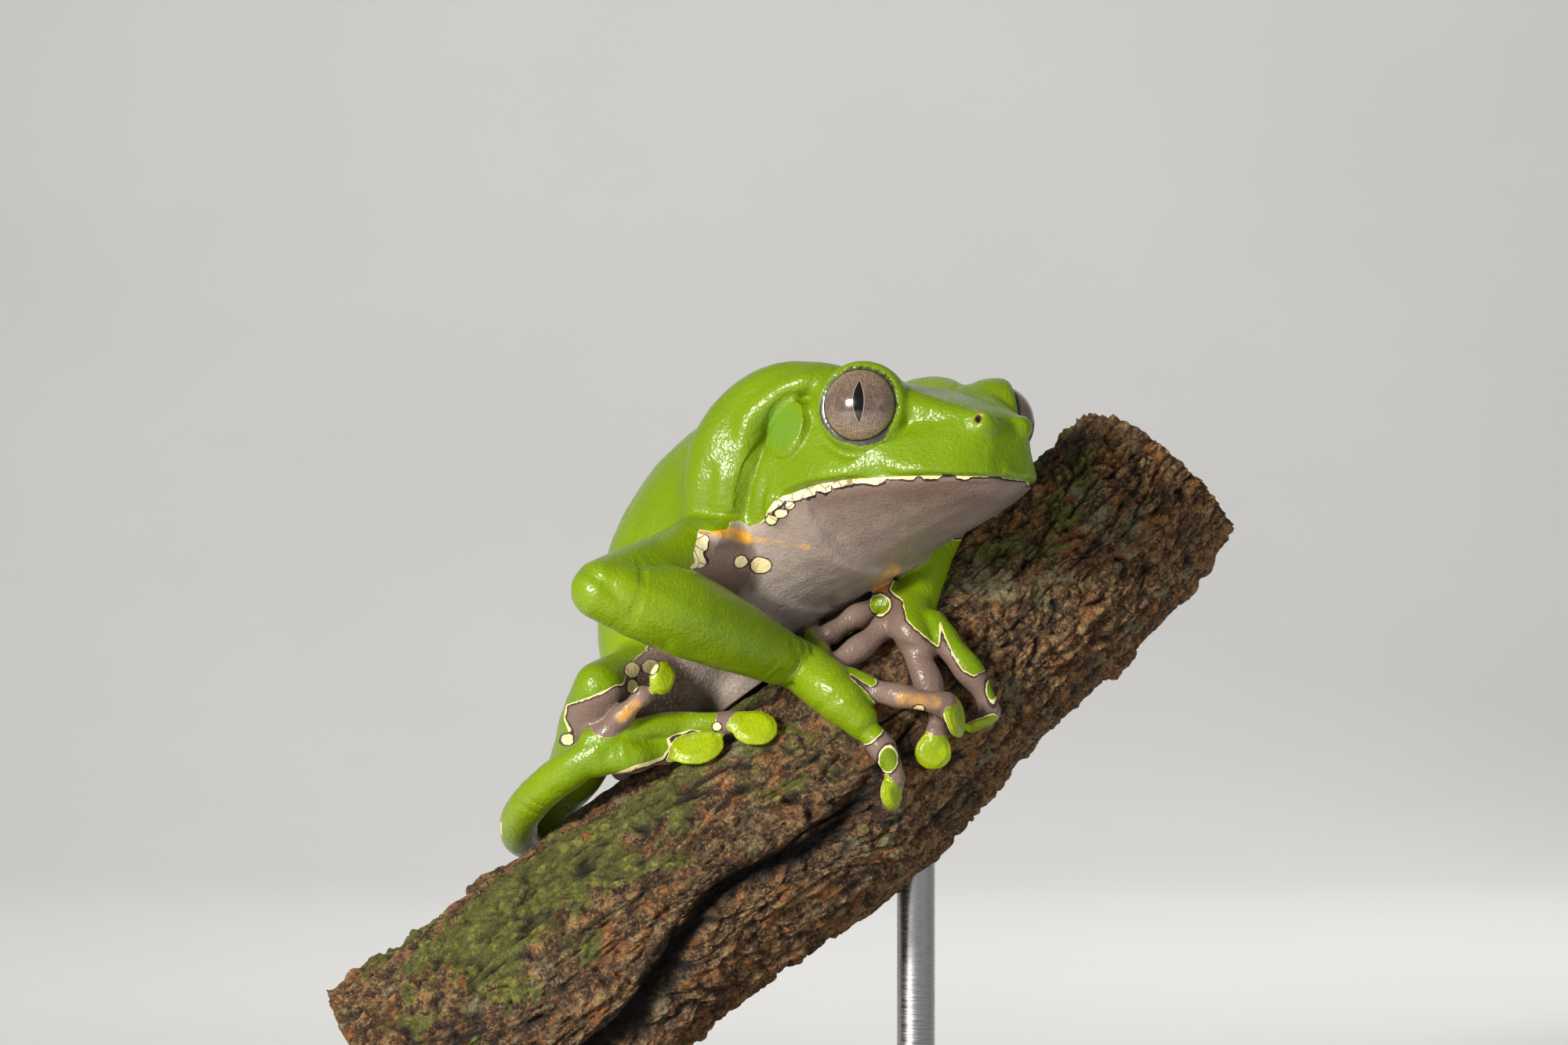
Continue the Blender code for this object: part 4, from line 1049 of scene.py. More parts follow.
# Soft folds of the body where the photograph shows them: line, depth, width, all in its pixels
SOFT_FOLDS = (
    (((742, 722), (775, 748), (810, 790), (850, 822)), 0.32, 9.0),
    (((800, 740), (850, 765), (900, 790)), -0.22, 12.0),
    (((905, 600), (900, 640), (893, 668)), 0.3, 10.0),
    (((925, 520), (935, 570), (930, 620), (915, 660)), 0.28, 12.0),
    (((862, 590), (850, 640), (842, 690)), 0.22, 14.0),
    (((1000, 700), (1040, 735), (1060, 775)), 0.16, 9.0),
    (((940, 735), (975, 770), (1000, 800)), 0.14, 9.0),
)


def soft_folds(co, no, seen):
    """Shallow folds of the shoulder, forearm and chest."""
    move = np.zeros(len(co))
    front = smooth_step(0.1, -0.3, no[:, 1]) * (co[:, 1] < 12.0)
    for line, depth, width in SOFT_FOLDS:
        away = along_line(seen, np.array(line, dtype=float))[0]
        move -= depth * bell(away, width)
    return move * front


def lumps(co, size, seed):
    """Soft unevenness of the skin, from -1 to 1."""
    shift = Vector((seed, -seed, 2 * seed))
    return np.array([noise.noise(Vector(p) / size + shift) for p in co])


# Markings

# Where the grey of the belly starts, in a view from the right: along +X, and up
FLANK_LINE = (
    (14.0, 108.0), (4.0, 106.0), (-1.5, 104.6), (-6.0, 104.4), (-10.0, 103.6), (-13.0, 99.0),
    (-16.5, 93.5), (-19.6, 88.0), (-20.0, 80.0), (-18.0, 74.0), (30.0, 70.0), (50.0, 100.0), (30.0, 111.0),
)
# Small folds behind the corner of the jaw, and how deep they are
JAW_FOLDS = (
    (((-27.2, -1.6), (-28.3, -3.8), (-29.0, -6.2)), 0.3),
    (((-28.6, 0.6), (-29.7, -2.4), (-30.4, -5.6)), 0.32),
    (((-25.8, -3.0), (-27.0, -5.0), (-27.8, -7.6)), 0.22),
)
# Width of the cream band on the lower lip, by distance ahead of the snout
LIP_BAND = (
    (-40.0, 0.0), (-30.0, 0.5), (-27.4, 1.2), (-26.2, 1.35), (-25.9, 0.9), (-25.6, 1.4),
    (-23.6, 1.5), (-23.3, 1.0), (-23.0, 1.4), (-21.4, 1.3), (-21.1, 0.75), (-20.8, 1.25),
    (-18.7, 1.15), (-18.45, 0.2), (-18.2, 1.0), (-15.4, 1.0), (-15.1, 0.6), (-14.8, 0.95),
    (-10.9, 0.8), (-10.6, 0.0), (-10.3, 0.55), (-7.5, 0.5), (-7.2, 0.0), (-6.7, 0.0), (-6.5, 0.5),
    (-5.0, 0.45), (-4.8, 0.0), (-3.6, 0.0), (-3.4, 0.4), (-2.5, 0.35), (-2.3, 0.0), (0.0, 0.0),
)
# Cream spots with a dark edge, where the photograph shows them: middle, half width, half height
SPOTS = (
    (945, 717, 7.5, 7.0), (971, 722, 12.0, 9.0), (723, 944, 8.0, 9.0),
    (806, 855, 9.0, 9.0), (830, 851, 10.0, 9.0), (807, 876, 7.0, 8.5), (1172, 905, 6.0, 4.0),
    (914, 928, 4.5, 4.5), (996, 655, 8.0, 5.0), (1008, 645, 6.0, 5.0), (984, 663, 6.0, 4.5),
)
# Orange skin: lines in the photograph, half width, strength
TINTS = (
    (((894, 676), (925, 678), (952, 687)), 11.0, 1.0),
    (((952, 687), (1000, 694), (1030, 699)), 5.0, 0.5),
    (((792, 916), (812, 898)), 10.0, 0.6),
    (((1150, 892), (1192, 896)), 12.0, 0.4),
    (((1122, 752), (1140, 728)), 12.0, 0.7),
)
# Grey skin below the green of the rump, in the photograph
RUMP_GREY = (
    (794, 866), (801, 852), (812, 838), (828, 822), (860, 805), (1100, 790), (1100, 900), (860, 940),
    (792, 925),
)
# Green skin above the armpit, in the photograph
ARMPIT_GREEN = (
    (850, 540), (935, 540), (950, 640), (938, 662), (912, 680), (893, 676), (850, 684),
)
# Cream edge of the upper arm, in the photograph: middle, half width, half height
ARM_EDGE = (895, 704, 26, 26)
# Line between green and grey from the chest to the corner of the jaw: ahead of the snout, height
JAW_LINE = ((-60.0, -7.0), (-42.0, -6.2), (-37.0, -5.6), (-33.0, -5.2), (-29.5, -4.4), (-27.5, -3.0))
# Limbs that are green on one side: direction of the green side, and how far round the grey starts
GREEN_SIDE = {
    "upper_arm_r": ((-0.35, -0.1, 0.95), -0.75),
    "forearm_r": ((-0.1, -0.72, 0.68), -0.6),
    "upper_arm_l": ((0.3, 0.5, 0.8), -0.5),
    "forearm_l": ((0.95, -0.1, 0.3), -0.35),
    "thigh_r": ((-0.3, -0.1, 0.95), -0.1),
    "shank_r": ((-0.95, 0.25, 0.2), 0.2),
    "thigh_l": ((-0.1, 0.5, 0.85), -0.35),
    "shank_l": ((0.1, 0.95, 0.35), -0.3),
    "palm_r": ((-0.1, -0.85, 0.5), -0.5),
    "fourth_finger_r": ((-0.1, -0.9, 0.4), -0.5),
    "palm_l": ((0.8, -0.4, 0.5), -0.3),
    "fourth_finger_l": ((0.7, -0.6, 0.4), -0.35),
    "tarsus_r": ((-0.35, -0.4, 0.85), -0.4),
    "fifth_toe_r": ((-0.1, -0.6, 0.8), -0.45),
    "fourth_toe_r": ((0.0, -0.6, 0.8), -0.5),
    "tarsus_l": ((0.0, 0.9, 0.4), -0.3),
    "fifth_toe_l": ((0.0, 1.0, 0.0), -0.3),
}
# Where the green of a digit ends, along its middle line
GREY_FROM = {
    "fourth_finger_r": 3.9, "fifth_toe_r": 7.4, "fourth_toe_r": 15.0, "fifth_toe_l": 8.0,
    "fourth_finger_l": 8.6,
}
# Width of the cream band, and strength of the dark line, where a limb's green ends
LIMB_BAND = {
    "forearm_r": 0.2, "tarsus_r": 0.4, "fifth_toe_r": 0.4, "shank_r": 0.2, "upper_arm_r": 0.08,
}
LIMB_LINE = {
    "forearm_r": 0.1, "upper_arm_r": 0.2, "shank_l": 0.4, "thigh_l": 0.3, "thigh_r": 0.5,
}
# Edges of the green or the grey where the photograph shows them, the limbs that they run over, and
# 1 where the green lies inside
SEEN = (
    (((690, 620), (1000, 740), (1041, 812), (1069, 824), (1090, 838), (1113, 860), (1118, 872), (1112, 877),
      (1097, 868), (1083, 858), (1085, 866), (1098, 877), (1111, 890), (1121, 909), (1129, 924), (1124, 936),
      (1108, 949), (1092, 950), (1048, 920), (1000, 905), (800, 830), (690, 830)),
     ("palm_r", "forearm_r", "fourth_finger_r", "third_finger_r", "second_finger_r", "thumb_r"), 1),
    (((1154, 726), (1160, 690), (1240, 690), (1245, 760), (1260, 806), (1262, 850), (1253, 858), (1242, 862),
      (1229, 857), (1216, 834), (1206, 811), (1198, 788), (1197, 825), (1180, 811), (1167, 801), (1157, 790),
      (1152, 766), (1136, 752), (1144, 736)),
     ("palm_l", "forearm_l", "third_finger_l", "fourth_finger_l", "second_finger_l", "thumb_l"), 1),
    (((640, 1100), (680, 1090), (691, 1054), (714, 1031), (735, 1013), (758, 995), (784, 987), (809, 977),
      (845, 966), (853, 955), (850, 943), (858, 938), (880, 931), (905, 934), (911, 930), (914, 912),
      (912, 890), (850, 890), (780, 910), (740, 920), (640, 1000)),
     ("tarsus_r", "fifth_toe_r", "fourth_toe_r"), 1),
    (((721, 900), (753, 889), (786, 874), (796, 872), (812, 880), (790, 940), (740, 975), (727, 951),
      (725, 933), (719, 918)), ("shank_r", "thigh_r"), -1),
    (RUMP_GREY, ("thigh_r",), -1),
    (((700, 620), (898, 640), (892, 672), (888, 690), (884, 704), (887, 718), (874, 728), (866, 724),
      (862, 770), (700, 800)), ("upper_arm_r",), 1),
)
# Green patches on the fingers: middle, half width, half height, in the photograph
PATCHES = ((1133, 970, 11, 15), (1122, 772, 12, 12), (1099, 763, 8, 6), (1265, 880, 6, 13))


# Distances in mm: outside every spot and patch, and inside the grey of a limb without green
FAR = 5.0
ALL_GREY = 3.0


class Markings:
    """Values of the markings at every point of the skin: distances in mm, and shares from 0 to 1."""

    def __init__(self, co, no, rows_of, pads):
        count = len(co)
        self.co = co
        self.no = no
        self.rows_of = rows_of
        self.pads = pads
        self.seen = photo_point(co)
        self.values = {name: np.zeros(count) for name in (
            "grey", "band", "line", "dusk", "orange", "lime", "wrinkle", "lid", "rim", "ear",
            "pad_mask", "inside_nose", "beads",
        )}
        self.values["spot"] = np.full(count, FAR)
        self.values["line"] += 1.0

    def at_least(self, name, value):
        self.values[name] = np.maximum(self.values[name], value)

    def at_most(self, name, value):
        self.values[name] = np.minimum(self.values[name], value)

    def blend(self, name, near, weight, value):
        kept = self.values[name][near]
        self.values[name][near] = kept + (value - kept) * weight

    def body(self):
        co = self.co
        local = in_head(co)
        # Points on the trunk's left side count as their mirror points on its right side
        rows = spline(TRUNK, 5)
        nearest = np.argmin(np.linalg.norm(co[:, None, :] - rows[None, ::2, :3], axis=2), axis=1) * 2
        row = rows[nearest]
        t = np.radians(row[:, 6])
        right = np.column_stack((-np.sin(t), -np.cos(t), np.zeros(len(t))))
        across = np.sum((co - row[:, :3]) * right, axis=1)
        side = co + right * (np.abs(across) - across)[:, None]
        trunk_grey = inside_area(side[:, [0, 2]], FLANK_LINE)
        line = np.concatenate((np.array(JAW_LINE), np.array(MOUTH)[::-1][:, [0, 2]]))
        head_grey = np.interp(local[:, 0], line[:, 0], line[:, 1]) - local[:, 2]
        neck = smooth_step(-33.0, -29.0, local[:, 0])
        v = self.values
        front = smooth_step(0.3, -0.1, self.no[:, 1]) * (co[:, 1] < 8.0)
        rump = inside_area(self.seen, RUMP_GREY) / PX_PER_MM
        trunk_grey = np.where(rump * front > -0.5, np.maximum(trunk_grey, rump), trunk_grey)
        v["grey"] = trunk_grey * (1 - neck) + head_grey * neck
        lip = np.array(LIP_BAND)
        v["band"] = 0.85 * np.interp(local[:, 0], lip[:, 0], lip[:, 1]) * neck + 0.25 * (1 - neck)
        v["wrinkle"] = smooth_step(0.3, 2.0, v["grey"])
        # Painted shade: a band just below the mouth, and the throat towards the chin, take the darker
        # brown-grey
        under = smooth_step(5.5, 0.5, v["grey"]) * smooth_step(-34.0, -26.0, local[:, 0])
        chin_shade = smooth_step(-34.0, -20.0, local[:, 0]) * neck
        v["dusk"] = np.clip(0.5 * under + 0.6 * chin_shade, 0.0, 1.0)
        v["beads"] = smooth_step(0.5, 2.0, v["grey"]) * smooth_step(93.0, 89.0, co[:, 2])
        v["lime"] = 0.75 * smooth_step(104.0, 84.0, co[:, 2]) * smooth_step(-9.0, -1.0, v["grey"])
        v["lime"] += 0.3 * smooth_step(4.0, 0.0, -v["grey"]) * (1 - neck)

    def head(self):
        local = in_head(self.co)
        off = (local[:, [0, 2]] - np.array((TYMPANUM.x, TYMPANUM.z))) / np.array((1.08, 1.0))
        drum = smooth_step(TYMPANUM_R, TYMPANUM_R - 1.2, np.linalg.norm(off, axis=1))
        self.values["ear"] = beside_head(local, facing_in_head(self.no)) * drum
        for sign in (1, -1):
            off, axis = from_eye(local, sign)
            reach, angle = off_axis(off, axis)
            near = reach < 8.0
            up = np.array((0.0, 0.0, 1.0)) - axis * axis[2]
            up /= np.linalg.norm(up)
            forward = np.cross(up, axis)
            forward *= np.sign(forward[0])
            turn = np.degrees(np.arctan2(off @ up, off @ forward))
            # The lower lid shows from the back corner, underneath, to the front
            under = np.where(turn > 90.0, turn - 360.0, turn)
            width = 2.8 * smooth_step(-28.0, -60.0, under) * smooth_step(-202.0, -190.0, under)
            width *= 1.0 + 0.6 * bell(under + 165.0, 30.0) + 0.5 * bell(under + 50.0, 25.0)
            edge = OPENING + 1.2 + width
            self.at_least("lid", near * smooth_step(edge + 1.0, edge, angle) * (width > 0.3))
            self.at_least("rim", near * smooth_step(OPENING + 2.6, OPENING + 1.4, angle))
            self.at_least("inside_nose", smooth_step(1.0, 0.35, from_nostril(local, sign)))

    def rule(self, name, along, out, radius):
        """Where a limb turns grey, from the side that its green lies on."""
        if name not in GREEN_SIDE:
            return np.full(len(along), ALL_GREY)
        direction, threshold = GREEN_SIDE[name]
        direction = np.array(direction) / np.linalg.norm(direction)
        grey = (threshold - out @ direction) * radius
        if name in GREY_FROM:
            grey = np.maximum(grey, along - GREY_FROM[name])
        return grey

    def along_limbs(self):
        count = len(self.co)
        frames = {name: limb_frame(self.co, rows, 6.0) for name, rows in self.rows_of.items()}
        lowest = np.full(count, 2 * FAR)
        for near, height, along, out, length in frames.values():
            lowest[near] = np.minimum(lowest[near], height)
        front = smooth_step(0.1, -0.3, self.no[:, 1])
        seen = {}
        for corners, names, sign in SEEN:
            area = inside_area(self.seen, corners) / -PX_PER_MM * sign
            for name in names:
                seen[name] = np.maximum(seen.get(name, area), area)
        kinds = ("grey", "band", "line", "dusk", "wrinkle", "lime")
        sums = {key: np.zeros(count) for key in kinds}
        total = np.full(count, 1e-9)
        union = np.zeros(count)
        for name, (near, height, along, out, length) in frames.items():
            rows = self.rows_of[name]
            radius = np.interp(along / length, np.linspace(0, 1, len(rows)), [r[3] for r in rows])
            reach = smooth_step(1.1, 0.15, height)
            share = reach * np.exp((lowest[near] - height) / 0.25)
            if is_digit(name):
                share = share * (0.02 + smooth_step(0.5, 2.6, along))
            if name in ("upper_arm_r", "thigh_r", "thigh_l", "upper_arm_l"):
                reach = reach * smooth_step(5.0, 11.0, along)
            grey = self.rule(name, along, out, radius)
            if name in seen:
                grey = grey + (seen[name][near] - grey) * front[near]
            values = {
                "grey": grey, "band": LIMB_BAND.get(name, 0.12), "line": LIMB_LINE.get(name, 0.75),
                "dusk": 1.0, "wrinkle": 0.15, "lime": 0.15,
            }
            for key in kinds:
                sums[key][near] += share * values[key]
            total[near] += share
            union[near] = np.maximum(union[near], reach)
            if not name.startswith("thigh"):
                self.values["beads"][near] *= 1 - reach
        for key in kinds:
            base = self.values[key]
            self.values[key] = base + (sums[key] / total - base) * union
        for patch in PATCHES:
            shows = (front > 0.3) & (union > 0.5)
            self.at_most("grey", np.where(shows, outside_oval(self.seen, patch), FAR))
        kept = -inside_area(self.seen, ARMPIT_GREEN) / PX_PER_MM
        shows = (front > 0.3) & (self.co[:, 1] < 8.0) & (kept < 0.3)
        self.at_most("grey", np.where(shows, kept, 2 * FAR))

    def at_pads(self):
        for centre, facing, radius, thick, long, along in self.pads.values():
            turn = np.array(facing_frame(facing, along))
            off = (self.co - np.array(centre)) @ turn
            off /= np.array((radius * long + 0.25, radius + 0.25, thick + 0.3))
            size = np.linalg.norm(off, axis=1)
            on = smooth_step(1.12, 0.98, size)
            front = -(off[:, 2] + 0.25) * thick * 1.5
            near = np.flatnonzero(on > 0)
            self.blend("grey", near, on[near], front[near])
            self.blend("pad_mask", near, on[near], 1.0)
            low = smooth_step(0.2, 0.8, -self.co[near, 2] + centre[2])
            self.blend("band", near, on[near], 0.25 + 0.5 * low)

    def spots(self):
        """Cream spots, the orange fold of the armpit, and the cream edge of the upper arm."""
        facing = smooth_step(0.1, -0.2, self.no[:, 1])
        near = self.co[:, 1] < 4.0
        for spot in SPOTS:
            size = np.where(near & (facing > 0.3), outside_oval(self.seen, spot), FAR)
            self.at_most("spot", size)
        for line, wide, tint in TINTS:
            away = along_line(self.seen, np.array(line, dtype=float))[0]
            self.at_least("orange", smooth_step(wide, wide * 0.3, away) * facing * near * tint)
        patch = smooth_step(0.26, -1.04, outside_oval(self.seen, ARM_EDGE))
        patch *= near * (self.seen[:, 1] > 682) * (facing > 0.2)
        self.values["band"] += 1.3 * patch
        self.at_least("line", patch)
        # No band or line where the throat runs into the chest
        local = in_head(self.co)
        plain = smooth_step(-29.0, -31.0, local[:, 0]) * smooth_step(0.0, -4.0, local[:, 2])
        plain *= self.seen[:, 0] > 906
        self.values["line"] *= 1 - plain
        self.values["band"] *= 1 - plain


# Shader nodes

class Net:
    """Short calls for building a node tree."""

    def __init__(self, tree):
        self.tree = tree

    def add(self, kind, inputs=None, **values):
        made = self.tree.nodes.new(kind)
        for key, value in values.items():
            setattr(made, key, value)
        for key, value in (inputs or {}).items():
            self.put(made.inputs[key], value)
        return made

    def put(self, socket, value):
        if isinstance(value, bpy.types.NodeSocket):
            self.tree.links.new(value, socket)
        elif hasattr(value, "__len__") and len(value) == 3 and socket.type == "RGBA":
            socket.default_value = (*value, 1.0)
        else:
            socket.default_value = value

    def math(self, operation, one, two=0.0, clamp=False):
        made = self.add("ShaderNodeMath", {0: one, 1: two}, operation=operation, use_clamp=clamp)
        return made.outputs[0]

    def times(self, one, two):
        return self.math("MULTIPLY", one, two)

    def plus(self, one, two, clamp=False):
        return self.math("ADD", one, two, clamp)

    def less(self, one, two):
        return self.math("SUBTRACT", one, two)

    def step(self, value, low, high, start=0.0, end=1.0):
        made = self.add(
            "ShaderNodeMapRange",
            {"Value": value, "From Min": low, "From Max": high, "To Min": start, "To Max": end},
            interpolation_type="SMOOTHSTEP",
        )
        return made.outputs["Result"]

    def mix(self, share, one, two):
        """One colour where the share is 0, and the other where it is 1."""
        made = self.add("ShaderNodeMix", data_type="RGBA", blend_type="MIX")
        self.put(made.inputs["Factor"], share)
        self.put(made.inputs[6], one)
        self.put(made.inputs[7], two)
        return made.outputs[2]

    def layers(self, base, *rows):
        """Colours laid over a base one after another, each with its own share."""
        for share, tone in rows:
            base = self.mix(share, base, tone)
        return base

    def noise(self, scale, detail=4.0, rough=0.55, place=None, warp=0.0):
        inputs = {"Scale": scale, "Detail": detail, "Roughness": rough, "Distortion": warp}
        if place is not None:
            inputs["Vector"] = place
        return self.add("ShaderNodeTexNoise", inputs).outputs["Fac"]

    def cells(self, scale, place, feature="F1", output="Distance", random=1.0):
        inputs = {"Scale": scale, "Vector": place, "Randomness": random}
        return self.add("ShaderNodeTexVoronoi", inputs, feature=feature).outputs[output]

    def value(self, name):
        return self.add("ShaderNodeAttribute", attribute_name=name, attribute_type="GEOMETRY").outputs["Fac"]

    def place(self):
        return self.add("ShaderNodeTexCoord").outputs["Object"]

    def bump(self, height, strength, distance, normal=None):
        inputs = {"Height": height, "Strength": strength, "Distance": distance}
        if normal is not None:
            inputs["Normal"] = normal
        return self.add("ShaderNodeBump", inputs).outputs["Normal"]

    def bumps(self, *rows):
        """Bumps laid on each other: height, strength and distance of each."""
        normal = None
        for height, strength, distance in rows:
            normal = self.bump(height, strength, distance, normal)
        return normal


def new_material(name, **sockets):
    made = bpy.data.materials.new(name)
    made.use_nodes = True
    tree = made.node_tree
    shader = tree.nodes["Principled BSDF"]
    for key, value in sockets.items():
        shader.inputs[key.title()].default_value = value
    return made, Net(tree), shader


def stretched_grain_group():
    """The grain that saw marks, wood and brushed steel share: noise drawn out along one way."""
    name = "stretched grain"
    if name in bpy.data.node_groups:
        return bpy.data.node_groups[name]
    tree = bpy.data.node_groups.new(name, "ShaderNodeTree")
    for socket in ("Place", "Stretch"):
        tree.interface.new_socket(name=socket, in_out="INPUT", socket_type="NodeSocketVector")
    for socket in ("Scale", "Detail", "Roughness", "Distortion"):
        tree.interface.new_socket(name=socket, in_out="INPUT", socket_type="NodeSocketFloat")
    tree.interface.new_socket(name="Value", in_out="OUTPUT", socket_type="NodeSocketFloat")
    net = Net(tree)
    start = net.add("NodeGroupInput").outputs
    end = net.add("NodeGroupOutput")
    drawn = net.add("ShaderNodeMapping", {"Vector": start["Place"], "Scale": start["Stretch"]})
    value = net.noise(
        start["Scale"], start["Detail"], start["Roughness"], drawn.outputs[0], start["Distortion"],
    )
    net.put(end.inputs["Value"], value)
    return tree


def stretched_grain(net, place, stretch, scale, detail=2.0, rough=0.5, warp=0.0):
    made = net.add("ShaderNodeGroup", node_tree=stretched_grain_group())
    for key, value in zip(made.inputs.keys(), (place, stretch, scale, detail, rough, warp)):
        net.put(made.inputs[key], value)
    return made.outputs["Value"]


# Shades that go with the colours of the skin's settings
GREEN_GRAIN = (0.075, 0.165, 0.0005)
GREEN_SHADE = (0.11, 0.2, 0.0003)
GREEN_SPECK = (0.01, 0.02, 0.003)
EAR_GREEN = (0.075, 0.24, 0.035)
DISC_GREEN = (0.33, 0.40, 0.003)
PALE_GREY = (0.32, 0.255, 0.225)
# Painted shade for the furrows of the throat's wrinkles
FURROW_SHADE = (0.10, 0.07, 0.06)
BEAD_GREY = (0.46, 0.36, 0.27)
PALE_CREAM = (0.85, 0.76, 0.45)
CREAM_GAP = (0.16, 0.09, 0.035)
LID_BROWN = (0.045, 0.038, 0.034)
LID_RIM = (0.012, 0.009, 0.008)
NOSTRIL_EDGE = (0.30, 0.22, 0.035)
# Painted shade inside the pit of each nostril
NOSTRIL_SHADE = (0.03, 0.012, 0.008)
PORE = (0.03, 0.05, 0.01)


def skin_edges(net, place):
    """The wander of the edges, the band's width, and the masks past green, past cream and past the line."""
    wander = net.less(net.noise(260.0, 2.0, 0.5, place), 0.5)
    scallop = net.less(net.noise(900.0, 2.0, 0.6, place), 0.5)
    shift = net.plus(net.times(wander, 1.1), net.times(scallop, 0.55))
    edge = net.value("grey")
    band = net.value("band")
    past_band = net.plus(edge, net.times(shift, net.step(band, 0.3, 1.0, 0.8, 0.35)))
    lobes = net.less(net.cells(640.0, place, "SMOOTH_F1"), 0.42)
    lobes = net.times(lobes, net.times(net.step(band, 0.3, 1.0), 1.1))
    past_band = net.plus(net.less(past_band, band), lobes)
    is_cream = net.step(net.plus(edge, net.times(shift, 0.15)), -0.03, 0.03)
    return shift, band, is_cream, net.step(past_band, -0.03, 0.03), net.step(past_band, 0.2, 0.32)


def green_skin(net, looks, place, cloud, fine_mask):
    """Green of the back, with its grain, specks, ear drum and discs."""
    lime = net.plus(net.value("lime"), net.times(net.less(cloud, 0.5), 0.7), clamp=True)
    specks = net.step(net.cells(330.0, place), 0.05, 0.02)
    specks = net.times(specks, net.step(net.noise(60.0, 2.0, 0.5, place), 0.55, 0.62))
    disc = net.step(net.noise(420.0, 2.0, 0.5, place), 0.35, 0.65, 0.15, 0.6)
    return net.layers(
        looks.green,
        (lime, looks.lime),
        (net.times(fine_mask, 0.28), GREEN_GRAIN),
        (net.step(net.noise(34.0, 3.0, 0.55, place), 0.35, 0.65, 0.0, 0.4), GREEN_SHADE),
        (net.times(specks, 0.85), GREEN_SPECK),
        (net.times(net.value("ear"), net.step(cloud, 0.35, 0.7, 0.1, 0.45)), EAR_GREEN),
        (net.times(net.value("pad_mask"), disc), DISC_GREEN),
    )


def skin_material(looks):
    made, net, shader = new_material("wet skin", roughness=0.42)
    place = net.place()
    shift, band, is_cream, is_line, is_grey = skin_edges(net, place)
    cloud = net.noise(90.0, 3.0, 0.5, place)
    fine = net.noise(2600.0, 3.0, 0.6, place)
    fine_mask = net.step(fine, 0.35, 0.65)
    green = green_skin(net, looks, place, cloud, fine_mask)
    # Grey of the throat and belly, browner on the limbs; the dusk value also darkens the throat below the
    # mouth and towards the chin as painted shade
    dusk = net.value("dusk")
    paler = net.times(net.step(cloud, 0.3, 0.7, 0.0, 0.5), net.step(dusk, 0.2, 1.0, 1.0, 0.25))
    wrinkle = net.value("wrinkle")
    # Wrinkles of the throat: the bump below dents them, and their colour is darkened as painted shade
    turned_place = net.add(
        "ShaderNodeMapping", {"Vector": place, "Scale": (1.0, 1.0, 2.2), "Rotation": (0.2, 0.5, 0.0)},
    ).outputs[0]
    furrow = net.step(net.cells(2400.0, turned_place, "DISTANCE_TO_EDGE"), 0.0, 0.3, 1.0, 0.0)
    furrow = net.times(furrow, net.step(net.noise(500.0, 3.0, 0.6, place), 0.35, 0.6, 0.25, 1.0))
    beads = net.cells(1500.0, place, "F1", "Distance", 0.7)
    bead_mask = net.value("beads")
    orange = net.step(net.noise(380.0, 3.0, 0.6, place), 0.3, 0.62, 0.15, 1.0)
    grey = net.layers(
        looks.grey,
        (dusk, looks.dusk),
        (paler, PALE_GREY),
        # painted shade in the wrinkles' furrows
        (net.times(furrow, net.times(wrinkle, 0.36)), FURROW_SHADE),
        (net.times(net.step(beads, 0.5, 0.2), net.times(bead_mask, 0.75)), BEAD_GREY),
        (net.times(net.value("orange"), orange), looks.orange),
    )
    # Put the bands together
    gaps = net.step(net.cells(400.0, place, "DISTANCE_TO_EDGE"), 0.012, 0.05, 0.85, 0.0)
    cream = net.layers(
        looks.cream,
        (net.step(cloud, 0.3, 0.7), PALE_CREAM),
        (net.times(gaps, net.step(band, 0.55, 0.8)), CREAM_GAP),
    )
    spot = net.plus(net.value("spot"), net.times(shift, 0.8))
    lid = net.value("lid")
    rim = net.value("rim")
    nose = net.value("inside_nose")
    pores = net.step(net.cells(1900.0, place), 0.16, 0.05)
    pores = net.times(pores, net.step(net.noise(150.0, 2.0, 0.5, place), 0.42, 0.6, 0.0, 0.3))
    net.put(shader.inputs["Base Color"], net.layers(
        green,
        (is_cream, cream),
        (is_line, net.mix(net.value("line"), grey, looks.outline)),
        (is_grey, grey),
        (net.step(spot, 0.22, 0.14, 0.0, 0.9), looks.outline),
        (net.step(spot, 0.04, -0.04), cream),
        (net.times(lid, 0.95), LID_BROWN),
        (net.times(rim, 0.95), LID_RIM),
        (net.step(nose, 0.02, 0.5, 0.0, 0.85), NOSTRIL_EDGE),
        # painted shade inside the nostril's pit
        (net.step(nose, 0.45, 0.8), NOSTRIL_SHADE),
        (pores, PORE),
    ))
    # Wet gloss, with a pebbled surface under it
    net.put(shader.inputs["Roughness"], net.step(fine_mask, 0.0, 1.0, 0.30, 0.44))
    shader.inputs["Specular IOR Level"].default_value = 0.3
    shader.inputs["Coat Weight"].default_value = 0.3
    shader.inputs["Coat Roughness"].default_value = 0.1
    shader.inputs["Subsurface Weight"].default_value = 0.05
    shader.inputs["Subsurface Radius"].default_value = (1.0, 1.0, 0.4)
    shader.inputs["Subsurface Scale"].default_value = 0.0012
    # The lids stay smooth
    even = net.step(net.math("MAXIMUM", lid, rim), 0.0, 0.5, 1.0, 0.0)
    pebbles = net.plus(net.times(fine, 0.6), net.times(net.cells(2080.0, place), 0.5))
    coarse = net.noise(1300.0, 2.0, 0.5, place)
    normal = net.bumps(
        (net.times(pebbles, even), 0.6, 0.00016),
        (net.times(coarse, even), 0.3, 0.0002),
        (net.times(net.noise(420.0, 3.0, 0.55, place), even), 0.16, 0.0005),
        (net.times(furrow, wrinkle), -0.4, 0.0002),
        (net.times(beads, bead_mask), -0.8, 0.0006),
    )
    net.put(shader.inputs["Normal"], normal)
    net.put(shader.inputs["Coat Normal"], normal)
    return made


